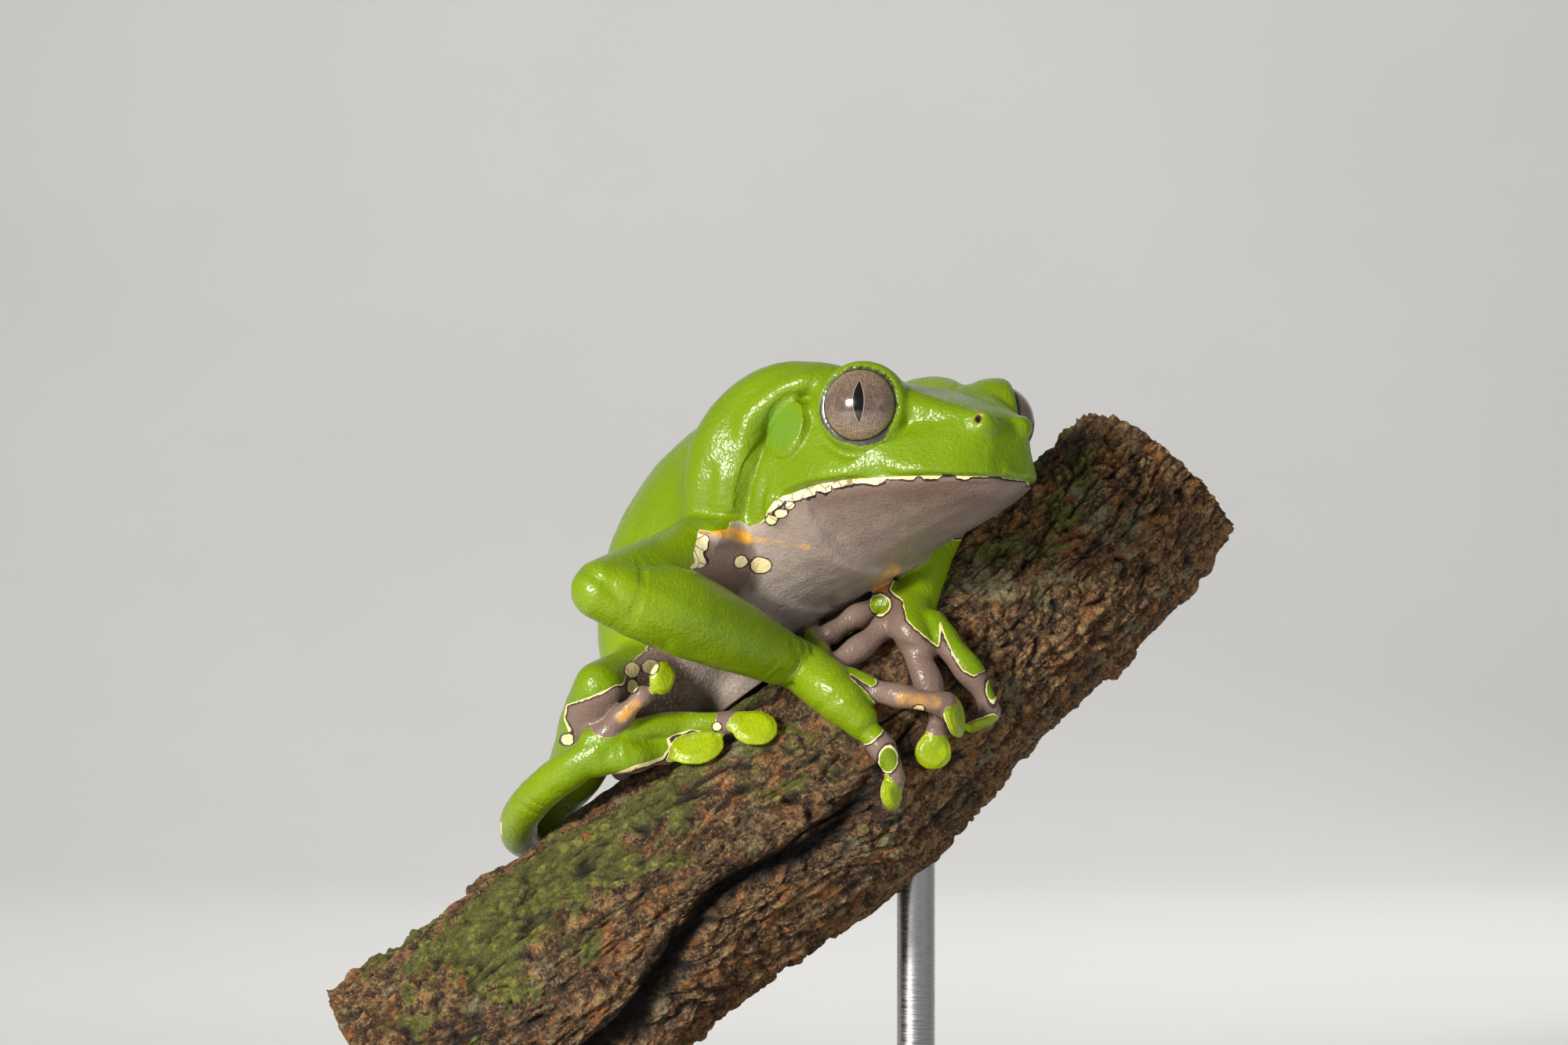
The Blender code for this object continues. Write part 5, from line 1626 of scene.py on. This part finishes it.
# Shades of the iris, and half height and half width of its slit by the iris' own radius
IRIS_MIDDLE = (0.12, 0.085, 0.075)
IRIS_NET = (0.03, 0.019, 0.015)
IRIS_FLECK = (0.06, 0.04, 0.035)
IRIS_CLOUD = (0.36, 0.25, 0.17)
SLIT_EDGE = (0.36, 0.27, 0.20)
SLIT_BLACK = (0.002, 0.002, 0.002)
IRIS_EDGE = (0.008, 0.006, 0.005)
SLIT_HIGH = 0.58
SLIT_WIDE = 0.142


def eye_material(looks):
    made, net, shader = new_material("eye", roughness=0.16)
    upright = net.value("slit_up")
    across = net.value("slit_across")
    reach = net.value("from_middle")
    place = net.place()
    # A net of dark lines that wander
    wander = net.add("ShaderNodeTexNoise", {"Scale": 1800.0, "Vector": place}).outputs["Color"]
    wander = net.add("ShaderNodeVectorMath", {0: wander, "Scale": 0.0003}, operation="SCALE").outputs[0]
    warped = net.add("ShaderNodeVectorMath", {0: place, 1: wander}, operation="ADD").outputs[0]
    net_lines = net.cells(3800.0, warped, "DISTANCE_TO_EDGE")
    fine = net.noise(7000.0, 3.0, 0.7, place)
    cloud = net.noise(900.0, 3.0, 0.6, place)
    # Slit: two arcs that meet above and below
    tall = net.math("POWER", net.math("ABSOLUTE", net.math("DIVIDE", upright, SLIT_HIGH)), 2.0)
    wide = net.times(net.less(1.0, tall), SLIT_WIDE)
    slit = net.less(net.math("ABSOLUTE", across), wide)
    net.put(shader.inputs["Base Color"], net.layers(
        looks.iris,
        (net.step(reach, 0.35, 0.95), looks.gold),
        (net.step(net.math("ABSOLUTE", upright), 0.75, 0.15, 0.0, 0.6), IRIS_MIDDLE),
        (net.step(net_lines, 0.02, 0.2, 0.75, 0.0), IRIS_NET),
        (net.step(fine, 0.35, 0.65, 0.0, 0.5), IRIS_FLECK),
        (net.step(cloud, 0.45, 0.75, 0.0, 0.35), IRIS_CLOUD),
        (net.step(slit, 0.032, 0.018, 0.0, 0.8), SLIT_EDGE),
        (net.step(slit, 0.012, 0.0), SLIT_BLACK),
        (net.step(reach, 0.93, 1.0), IRIS_EDGE),
    ))
    shader.inputs["Coat Weight"].default_value = 1.0
    shader.inputs["Coat Roughness"].default_value = 0.02
    shader.inputs["Coat IOR"].default_value = 1.45
    net.put(shader.inputs["Normal"], net.bump(fine, 0.12, 0.0001))
    return made


# Shades that go with the colours of the branch's settings
BARK_DEEP = (0.085, 0.035, 0.014)
BARK_RED = (0.47, 0.17, 0.04)
BARK_DARK = (0.055, 0.027, 0.014)
BARK_TAN = (0.56, 0.39, 0.18)
BARK_GRAIN = (0.14, 0.07, 0.03)
BARK_PIT = (0.018, 0.009, 0.005)
# Painted shade in the bark's cracks and split
CRACK_SHADE = (0.008, 0.004, 0.003)
MOSS_TIP = (0.40, 0.38, 0.07)
# Painted shade deep between the clumps of moss
MOSS_GAP_SHADE = (0.04, 0.05, 0.008)
MOSS_SHADE = (0.10, 0.12, 0.015)


def bark_material(looks):
    made, net, shader = new_material("mossy bark", roughness=0.8)
    place = net.place()
    cloud = net.noise(120.0, 4.0, 0.65, place)
    flake = net.noise(520.0, 5.0, 0.7, place, 0.6)
    fine = net.noise(2200.0, 4.0, 0.75, place)
    crust = net.cells(620.0, place)
    grains = net.cells(2600.0, place, "F1", "Color")
    grains = net.add("ShaderNodeSeparateColor", {0: grains}).outputs[0]
    patch = net.plus(net.value("moss"), net.times(net.less(flake, 0.5), 1.5))
    patch = net.plus(patch, net.times(net.less(cloud, 0.5), 0.8))
    moss = net.layers(
        looks.moss,
        (net.step(fine, 0.42, 0.6), MOSS_TIP),
        # painted shade between the moss's clumps
        (net.step(crust, 0.15, 0.55, 0.0, 0.6), MOSS_GAP_SHADE),
        (net.step(grains, 0.6, 0.95, 0.0, 0.6), MOSS_SHADE),
    )
    net.put(shader.inputs["Base Color"], net.layers(
        BARK_DEEP,
        (net.step(net.value("tone"), 0.2, 0.9), looks.bark),
        (net.step(flake, 0.47, 0.58, 0.0, 0.9), looks.flake),
        (net.step(net.noise(300.0, 5.0, 0.72, place, 0.5), 0.52, 0.6, 0.0, 0.9), BARK_RED),
        (net.step(net.noise(160.0, 6.0, 0.75, place, 0.4), 0.55, 0.62, 0.0, 0.8), BARK_DARK),
        (net.step(net.noise(90.0, 6.0, 0.75, place), 0.56, 0.63, 0.0, 0.85), looks.lichen),
        (net.step(fine, 0.5, 0.62, 0.0, 0.7), BARK_TAN),
        (net.step(grains, 0.55, 0.95, 0.0, 0.45), BARK_GRAIN),
        (net.step(net.noise(900.0, 5.0, 0.75, place), 0.53, 0.6, 0.0, 0.75), BARK_PIT),
        (net.step(patch, 0.44, 0.56, 0.0, 0.95), moss),
        # painted shade in the cracks between plates and in the split
        (net.value("crack"), CRACK_SHADE),
    ))
    net.put(shader.inputs["Roughness"], net.step(flake, 0.35, 0.65, 0.3, 0.75))
    normal = net.bumps((flake, 1.0, 0.0016), (grains, 0.5, 0.0003), (fine, 1.0, 0.0008))
    net.put(shader.inputs["Normal"], normal)
    return made


# Shades of the sawn ends, the base, the rods and the floor
SAWN_PALE = (0.46, 0.30, 0.15)
SAWN_RING = (0.25, 0.13, 0.055)
SAWN_FLECK = (0.20, 0.11, 0.05)
SAWN_BARK = (0.10, 0.045, 0.02)
WOOD_FIGURE = (0.095, 0.045, 0.022)
WOOD_PORE = (0.012, 0.006, 0.004)
STEEL_DARK = (0.42, 0.42, 0.43)
STEEL_PALE = (0.62, 0.62, 0.63)
FLOOR_CLOUD = (0.60, 0.59, 0.575)


def cut_wood_material():
    made, net, shader = new_material("sawn end", roughness=0.7)
    place = net.place()
    pith = net.value("pith")
    wander = net.times(net.noise(160.0, 3.0, 0.5, place), 1.4)
    rings = net.math("FRACT", net.times(net.plus(pith, wander), 0.95))
    fine = net.noise(2600.0, 3.0, 0.7, place)
    net.put(shader.inputs["Base Color"], net.layers(
        SAWN_PALE,
        (net.step(rings, 0.35, 0.95), SAWN_RING),
        (net.step(fine, 0.4, 0.7, 0.0, 0.5), SAWN_FLECK),
        (net.step(pith, BARK_FROM, BARK_TO), SAWN_BARK),
    ))
    net.put(shader.inputs["Roughness"], net.step(fine, 0.3, 0.7, 0.6, 0.8))
    saw = stretched_grain(net, place, (0.15, 1.0, 0.15), 700.0)
    net.put(shader.inputs["Normal"], net.bump(saw, 0.35, 0.0003))
    return made


def wood_material(looks):
    made, net, shader = new_material("dark wood", roughness=0.4)
    place = net.place()
    figure = stretched_grain(net, place, (1.0, 9.0, 9.0), 28.0, 5.0, 0.6, 1.2)
    pores = stretched_grain(net, place, (0.06, 1.0, 1.0), 900.0)
    net.put(shader.inputs["Base Color"], net.layers(
        looks.wood,
        (net.step(figure, 0.3, 0.7), WOOD_FIGURE),
        (net.step(pores, 0.58, 0.7, 0.0, 0.7), WOOD_PORE),
    ))
    net.put(shader.inputs["Roughness"], net.step(figure, 0.2, 0.8, 0.3, 0.45))
    net.put(shader.inputs["Normal"], net.bump(pores, 0.15, 0.0001))
    return made


def steel_material():
    made, net, shader = new_material("brushed steel", roughness=0.3, metallic=1.0)
    lines = stretched_grain(net, net.place(), (0.04, 0.04, 1.0), 9000.0)
    net.put(shader.inputs["Base Color"], net.mix(lines, STEEL_DARK, STEEL_PALE))
    net.put(shader.inputs["Roughness"], net.step(lines, 0.3, 0.7, 0.22, 0.4))
    return made


def floor_material(looks):
    made, net, shader = new_material("pale floor", roughness=0.7)
    cloud = net.step(net.noise(9.0, 3.0, 0.5, net.place()), 0.3, 0.7, 0.0, 0.25)
    net.put(shader.inputs["Base Color"], net.mix(cloud, looks.floor, FLOOR_CLOUD))
    return made


# Building the pieces

# Fillets: fineness, rounds of smoothing, how much they shrink in the head, and about what height
FILLET_VOXEL = 0.8
FILLET_ROUNDS = 26
FILLET_SHRINK = 0.45
FILLET_MIDDLE = 2.0
# Rounds of smoothing of the skin, for faces of 1 mm
SKIN_ROUNDS = 1.1
# Unevenness of the skin: height, size and seed
LUMPS = ((0.08, 2.6, 3.0), (0.22, 9.0, 7.0))


def one_surface(name, pieces, voxel, rounds):
    """Join closed pieces into one smoothed surface."""
    ob = make_object(name, merged(pieces))
    add_modifier(ob, "REMESH", mode="VOXEL", voxel_size=voxel, adaptivity=0.0)
    applied(ob)
    add_modifier(ob, "SMOOTH", factor=0.5, iterations=rounds)
    return applied(ob)


def fillets(rows_of):
    """A softened copy of the large forms, which fills the creases where they meet."""
    pieces = head_pieces() + [trunk()] + belly()
    pieces += [tube(rows_of[name]) for name in ("upper_arm_r", "upper_arm_l", "thigh_r", "thigh_l")]
    ob = one_surface("fillets", pieces, FILLET_VOXEL, FILLET_ROUNDS)
    # Keep it inside the head, so that the ear drum and gland stay sharp
    local = in_head(points_of(ob.data))
    share = 1 - FILLET_SHRINK * smooth_step(-40.0, -34.0, local[:, 0])
    local[:, 1] *= share
    local[:, 2] = FILLET_MIDDLE + (local[:, 2] - FILLET_MIDDLE) * share
    move_points(ob.data, from_head(local))
    bm = bmesh.new()
    bm.from_mesh(ob.data)
    bpy.data.objects.remove(ob, do_unlink=True)
    return bm


def raw_skin(voxel):
    """The frog's plain surface, and the limbs and discs that it was made from."""
    rows_of = limbs()
    pads = discs()
    pieces = head_pieces() + [trunk()] + belly() + [fillets(rows_of)]
    pieces += [tube(rows) for rows in rows_of.values()]
    pieces += [pad(*values) for values in pads.values()]
    return one_surface("frog_skin", pieces, voxel, int(SKIN_ROUNDS / voxel ** 2)), rows_of, pads


def clear_of_bark(co, rows):
    """Keep the skin just outside the branch's round shape."""
    best = np.full(len(co), 1e9)
    push = np.zeros((len(co), 3))
    for one, two in zip(rows[:-1], rows[1:]):
        off, t = off_segment(co, one[:3], two[:3])
        away = np.linalg.norm(off, axis=1)
        gap = away - (one[3] + (two[3] - one[3]) * t) - SKIN_GAP
        nearer = gap < best
        best = np.where(nearer, gap, best)
        push[nearer] = off[nearer] / away[nearer][:, None]
    return co + push * np.maximum(-best, 0.0)[:, None]


class FROG_OT_skin(bpy.types.Operator):
    """Build the frog's skin with its folds, lids and markings"""
    bl_idname = "frog.skin"
    bl_label = "Skin"

    def execute(self, context):
        looks = context.scene.frog.skin
        ob, rows_of, pads = raw_skin(looks.voxel * (1.0))
        mesh = ob.data
        co = points_of(mesh)
        no = points_of(mesh, "normal")
        edges = np.empty(len(mesh.edges) * 2, dtype=np.int32)
        mesh.edges.foreach_get("vertices", edges)
        edges = edges.reshape(-1, 2)
        # Folds of the head, eased so that none is narrower than the skin's faces
        move = relaxed(head_relief(co, no)[:, None].repeat(3, 1), edges, np.full(len(co), 0.5), 2)
        co = co + no * move
        co = flat_ears(co)
        co = open_lids(co)
        # Even out the sides of the head, then the lower throat
        local = in_head(co)
        head = smooth_step(8.0, 10.0, np.abs(local[:, 1])) * smooth_step(-42.0, -38.0, local[:, 0])
        co = relaxed(co, edges, 0.45 * head, 4)
        throat_part = smooth_step(-3.5, -6.0, local[:, 2]) * smooth_step(-13.0, -20.0, local[:, 0])
        throat_part *= smooth_step(98.0, 101.0, co[:, 2]) * (co[:, 0] > -8.0)
        co = relaxed(co, edges, 0.5 * throat_part, 40)
        move_points(mesh, co)
        no = points_of(mesh, "normal")
        fine = limb_relief(co, rows_of) + pad_relief(co, pads) + soft_folds(co, no, photo_point(co))
        for height, size, seed in LUMPS:
            fine += height * lumps(co, size, seed)
        co = co + no * fine[:, None]
        co = clear_of_bark(co, spline(PERCH, 6))
        move_points(mesh, co)
        marks = Markings(co, points_of(mesh, "normal"), rows_of, pads)
        marks.body()
        marks.head()
        marks.along_limbs()
        marks.at_pads()
        marks.spots()
        write_values(mesh, marks.values)
        mesh.transform(Matrix.Scale(MM, 4))
        mesh.shade_smooth()
        mesh.materials.clear()
        mesh.materials.append(skin_material(looks))
        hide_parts(*FLESH)
        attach(ob, "root")
        return {"FINISHED"}


class FROG_OT_eyes(bpy.types.Operator):
    """Build both eyeballs with their slit pupils"""
    bl_idname = "frog.eyes"
    bl_label = "Eyes"

    def execute(self, context):
        looks = context.scene.frog.eye
        finish = eye_material(looks)
        for name, sign in (("eye_r", 1), ("eye_l", -1)):
            axis = HEAD.to_3x3() @ eye_axis(sign)
            up = HEAD.to_3x3() @ Vector((0.0, 0.0, 1.0))
            turn = facing_frame(axis, up)
            bm = bmesh.new()
            bmesh.ops.create_uvsphere(
                bm, u_segments=EYE_FACES[0], v_segments=EYE_FACES[1], radius=looks.radius,
            )
            local = np.array([v.co for v in bm.verts]) / looks.radius
            bm.transform(Matrix.Translation((HEAD @ eye_centre(sign)) * MM) @ turn.to_4x4())
            ob = make_object("ball_" + name, bm)
            front = local[:, 2] > 0
            edge = math.sin(math.radians(OPENING))
            up_iris, across_iris = local[:, 0] / edge, local[:, 1] / edge
            values = {
                "slit_up": np.where(front, up_iris, 2.0),
                "slit_across": np.where(front, across_iris + sign * PUPIL_SHIFT, 2.0),
                "from_middle": np.where(front, np.hypot(up_iris, across_iris), 2.0),
            }
            write_values(ob.data, values)
            ob.data.shade_smooth()
            ob.data.materials.append(finish)
            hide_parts(name)
            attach(ob, "root")
        return {"FINISHED"}


# Bark: seed of its warp, size of its plates and chips, and its long split: angle round the branch,
# half width, and the share of the length at which it ends and at which it is full
BARK_SEED = 7
PLATE = 4.6
CHIP = 1.7
SPLIT_AT = 3.3
SPLIT_WIDE = 0.09
SPLIT_DEEP = 3.6
SPLIT_END = (0.62, 0.42)


def bark_at(gone, u, size, t):
    """Height of the bark, how much painted shade its cracks and split get there, and its plate's own tone.
    """
    place = Vector((gone * 0.45, math.cos(u) * size, math.sin(u) * size))
    warp = noise.noise_vector(place / 5.0) * 1.8 + noise.noise_vector(place / 1.8) * 0.5
    near, points = noise.voronoi((place + warp) / PLATE)
    small, others = noise.voronoi((place + warp * 1.4) / CHIP)
    plate = smoothed(0.0, 0.16, near[1] - near[0])
    chip = smoothed(0.0, 0.25, small[1] - small[0])
    tone = 0.6 * noise.cell(points[0] * 7.3) + 0.4 * noise.cell(others[0] * 5.1)
    broad = noise.noise(place / 13.0)
    rough = noise.fractal(place / 1.5, 0.8, 2.1, 4)
    # The split winds along the branch, and the bark swells beside it
    bend = u - SPLIT_AT - 0.3 * math.sin(7 * t + 0.6) - 0.12 * math.sin(31 * t)
    wide = SPLIT_WIDE + 0.05 * math.sin(17 * t) ** 2
    there = smoothed(*SPLIT_END, t)
    split = hump(bend, 0.0, wide) * there
    ledge = 0.9 * smoothed(0.5, 0.0, abs(bend - 0.02)) * smoothed(0.0, -0.2, bend) * there
    drawn = Vector((place.x * 0.5, place.y * 2.6, place.z * 2.6)) / 2.2
    fibre = noise.fractal(drawn + warp * 0.4, 0.9, 2.2, 4)
    height = 0.9 * broad + 0.85 * (plate - 1) + 0.42 * (chip - 1) + 0.45 * rough + 0.35 * fibre
    height += 0.9 * (tone - 0.5) * plate + ledge - SPLIT_DEEP * split
    # Painted shade: the sunken edges of plates and chips, and the deep split, darken
    crack = (1 - plate) * 0.8 * smoothed(-0.5, 0.4, -rough) + 0.3 * (1 - chip) + 1.2 * split
    return height, min(1.0, crack), tone


# Patches of moss: strength, share of the length and its spread, angle round the branch and its spread
MOSS_PATCHES = (
    (1.0, 0.24, 0.17, 2.25, 0.62),
    (0.6, 0.78, 0.16, 2.1, 0.5),
    (0.42, 0.42, 0.16, 2.6, 0.5),
)


def moss_at(u, t, surface):
    """How mossy the bark is: thickest on top of the lower half, and all along the back."""
    most = 0.75 * hump(u, 1.0, 0.7)
    for strength, at, spread, angle, round_it in MOSS_PATCHES:
        most = max(most, strength * hump(t, at, spread) * hump(u, angle, round_it))
    return most * 0.95 + 0.42 * noise.fractal(surface / 6.5, 0.9, 2.0, 3)


def with_cut_ends(rings, values, around):
    """Add flat sawn ends inside the first and the last ring."""
    plain = {"crack": 0.0, "moss": 0.0, "tone": 0.5}
    for last in (False, True):
        edge = rings[-1] if last else rings[0]
        middle = sum(edge, Vector()) / len(edge)
        shares = [1.0 - 0.97 * step / CUT_RINGS for step in range(1, CUT_RINGS + 1)]
        if not last:
            shares.reverse()
        added = [[middle + (p - middle) * share for p in edge] for share in shares]
        numbers = {key: [value] * (CUT_RINGS * around) for key, value in plain.items()}
        numbers["pith"] = [(p - middle).length * share for share in shares for p in edge]
        if last:
            rings = rings + added
            values = {key: values[key] + numbers[key] for key in values}
        else:
            rings = added + rings
            values = {key: numbers[key] + values[key] for key in values}
    return rings, values


def skin_tree():
    """Every fourth point of the frog's skin, in mm, for finding the nearest."""
    skin = bpy.data.objects["frog_skin"].data
    tree = KDTree(len(skin.vertices) // 4 + 1)
    for i in range(0, len(skin.vertices), 4):
        tree.insert(skin.vertices[i].co / MM, i)
    tree.balance()
    return tree


class FROG_OT_perch(bpy.types.Operator):
    """Build the cut length of mossy branch"""
    bl_idname = "frog.perch"
    bl_label = "Branch"

    def execute(self, context):
        looks = context.scene.frog.perch
        around = looks.around // 1
        along = looks.along // 1
        rows = spline(PERCH, 24)
        spots = np.linspace(0, len(rows) - 1, along)
        rows = np.column_stack([np.interp(spots, np.arange(len(rows)), rows[:, i]) for i in range(4)])
        tree = skin_tree()
        # The offsets of noise_vector come from the clock until a seed is set
        noise.seed_set(BARK_SEED)
        rings = []
        values = {"crack": [], "moss": [], "tone": [], "pith": []}
        gone = 0.0
        for i in range(along):
            before = Vector(rows[max(i - 1, 0)][:3])
            after = Vector(rows[min(i + 1, along - 1)][:3])
            ahead = (after - before).normalized()
            side = Vector((0, 0, 1)).cross(ahead).normalized()
            top = ahead.cross(side)
            t = i / (along - 1)
            middle = Vector(rows[i][:3])
            size = rows[i][3]
            gone += (after - before).length / 2
            ring = []
            for u in circle(around):
                out = side * math.cos(u) + top * math.sin(u)
                surface = middle + out * size
                # The bark lies low under the frog
                hold = min(1.0, max(0.0, (tree.find(surface)[2] - LOW_FROM) / LOW_FADE))
                height, crack, tone = bark_at(gone, u, size, t)
                moss = moss_at(u, t, surface)
                height += 0.45 * smoothed(0.45, 0.8, moss)
                height = height * hold + min(height, -0.1) * (1 - hold) * 0.4
                ring.append(middle + out * (size - BARK_INSET + min(height, BARK_RISE)))
                for key, value in zip(values, (crack, moss, tone, size)):
                    values[key].append(value)
            rings.append(ring)
        rings, values = with_cut_ends(rings, values, around)
        ob = make_object("branch", finished(skin_rings(bmesh.new(), rings)), MM)
        write_values(ob.data, values)
        ob.data.shade_smooth()
        ob.data.set_sharp_from_angle(angle=math.radians(BARK_SHARP))
        ob.data.materials.append(bark_material(looks))
        ob.data.materials.append(cut_wood_material())
        ends = (CUT_RINGS + 1) * around
        for face in ob.data.polygons:
            if face.index < ends or face.index >= len(ob.data.polygons) - 2 - ends:
                face.material_index = 1
        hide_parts("perch")
        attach(ob, "root")
        return {"FINISHED"}


class FROG_OT_stand(bpy.types.Operator):
    """Build the base and rods of the display stand"""
    bl_idname = "frog.stand"
    bl_label = "Stand"

    def execute(self, context):
        looks = context.scene.frog.stand
        low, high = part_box("stand_base")
        size = high - low
        bm = bmesh.new()
        bmesh.ops.create_cube(bm, size=1.0)
        bm.transform(Matrix.Translation((low + high) / 2) @ Matrix.Diagonal((*size, 1.0)))
        upright = [e for e in bm.edges if abs((e.verts[0].co - e.verts[1].co).z) > size.z / 2]
        bmesh.ops.bevel(
            bm, geom=upright, offset=BASE_CORNER, segments=20, affect="EDGES", profile=0.5,
        )
        base = make_object("base_board", bm)
        add_modifier(base, "BEVEL", width=looks.edge, segments=6, limit_method="ANGLE")
        applied(base)
        base.data.shade_smooth()
        base.data.set_sharp_from_angle(angle=math.radians(STAND_SHARP))
        base.data.materials.append(wood_material(looks))
        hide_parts("stand_base")
        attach(base, "root")
        steel = steel_material()
        for name in ("stand_rod_low", "stand_rod_high"):
            low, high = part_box(name)
            middle = (low + high) / 2
            profile = [(looks.rod * wide, low.z + COLLAR * up) for wide, up in ROD_FOOT]
            profile.append((looks.rod, high.z))
            rings = [[
                Vector((middle.x + radius * math.cos(t), middle.y + radius * math.sin(t), z))
                for t in circle(ROD_SIDES)
            ] for radius, z in profile]
            ob = make_object(name.replace("stand_", "steel_"), finished(skin_rings(bmesh.new(), rings)))
            ob.data.shade_smooth()
            ob.data.set_sharp_from_angle(angle=math.radians(STAND_SHARP))
            ob.data.materials.append(steel)
            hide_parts(name)
            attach(ob, "root")
        return {"FINISHED"}


# Studio, in metres: round of the backdrop's bend, lights' place, target, size and tint, and the world
FLOOR_BEND = 0.6
MIDDLE = (0.0, 0.0, 0.095)
LIGHTS = (
    ("key", (-0.42, -0.50, 0.27), MIDDLE, 0.14, (1.0, 0.96, 0.90)),
    ("fill", (0.50, -0.45, 0.25), MIDDLE, 0.40, (0.93, 0.96, 1.0)),
    ("back", (0.30, 0.50, 0.45), MIDDLE, 0.30, (1.0, 1.0, 1.0)),
    ("wall", (0.0, 0.55, 0.75), (0.0, 1.5, 0.15), 1.4, (1.0, 1.0, 1.0)),
)
WALL_POWER = 5.0
SKY = (0.75, 0.78, 0.82, 1.0)
SKY_STRENGTH = 0.2


def area_light(name, place, target, size, watts, tint):
    data = bpy.data.lights.new(name, "AREA")
    data.shape = "DISK"
    data.size = size
    data.energy = watts
    data.color = tint
    ob = bpy.data.objects.new(name, data)
    bpy.context.scene.collection.objects.link(ob)
    ob.location = place
    ob.rotation_euler = (Vector(target) - Vector(place)).to_track_quat("-Z", "Y").to_euler()
    # Only the key light shows as a highlight
    ob.visible_glossy = name == "key"


class FROG_OT_stage(bpy.types.Operator):
    """Set up the camera, the pale floor and the studio lights"""
    bl_idname = "frog.stage"
    bl_label = "Stage"

    def execute(self, context):
        looks = context.scene.frog.stage
        data = bpy.data.cameras.new("camera")
        data.lens = LENS
        data.sensor_width = SENSOR
        data.clip_start = 0.01
        camera = bpy.data.objects.new("camera", data)
        context.scene.collection.objects.link(camera)
        camera.location = (0.0, -CAMERA_BACK * MM, CAMERA_UP * MM)
        camera.rotation_euler = (math.radians(90.0), 0.0, 0.0)
        context.scene.camera = camera
        # Floor that curves up into the backdrop
        bm = bmesh.new()
        bend = FLOOR_BEND
        profile = [(-2.5, 0.0), (bend, 0.0)]
        for t in np.linspace(0.1, math.pi / 2, 14):
            profile.append((bend + bend * math.sin(t), bend - bend * math.cos(t)))
        profile.append((2 * bend, 3.0))
        columns = [[bm.verts.new((x, y, z)) for y, z in profile] for x in (-3.0, 3.0)]
        for i in range(len(profile) - 1):
            bm.faces.new((columns[0][i], columns[1][i], columns[1][i + 1], columns[0][i + 1]))
        floor = make_object("floor", bm)
        floor.data.shade_smooth()
        floor.data.materials.append(floor_material(looks))
        powers = {"key": looks.key, "fill": looks.fill, "back": looks.fill, "wall": WALL_POWER}
        for name, place, target, size, tint in LIGHTS:
            area_light(name, place, target, size, powers[name], tint)
        world = bpy.data.worlds.new("studio")
        world.use_nodes = True
        sky = world.node_tree.nodes["Background"]
        sky.inputs["Color"].default_value = SKY
        sky.inputs["Strength"].default_value = SKY_STRENGTH
        context.scene.world = world
        context.scene.view_settings.view_transform = "Standard"
        return {"FINISHED"}


STEPS = (FROG_OT_stage, FROG_OT_skin, FROG_OT_eyes, FROG_OT_perch, FROG_OT_stand)


class FROG_PT_panel(bpy.types.Panel):
    """Sizes, colours and steps of the frog"""
    bl_idname = "FROG_PT_panel"
    bl_label = "Giant Monkey Frog"
    bl_space_type = "VIEW_3D"
    bl_region_type = "UI"
    bl_category = "Frog"

    def draw(self, context):
        for step in STEPS:
            self.layout.operator(step.bl_idname)
        settings = context.scene.frog
        for group in (settings.skin, settings.eye, settings.perch, settings.stand, settings.stage):
            box = self.layout.box()
            for key in group.bl_rna.properties.keys():
                if key not in ("rna_type", "name"):
                    box.prop(group, key)


CLASSES = (
    FROG_PG_skin, FROG_PG_eye, FROG_PG_perch, FROG_PG_stand, FROG_PG_stage, FROG_PG_settings,
    *STEPS, FROG_PT_panel,
)


def register():
    for cls in CLASSES:
        bpy.utils.register_class(cls)
    bpy.types.Scene.frog = PointerProperty(type=FROG_PG_settings)


def unregister():
    del bpy.types.Scene.frog
    for cls in reversed(CLASSES):
        bpy.utils.unregister_class(cls)


def main():
    register()
    bpy.ops.frog.stage()
    bpy.ops.frog.skin()
    bpy.ops.frog.eyes()
    bpy.ops.frog.perch()
    bpy.ops.frog.stand()


if __name__ == "__main__":
    main()
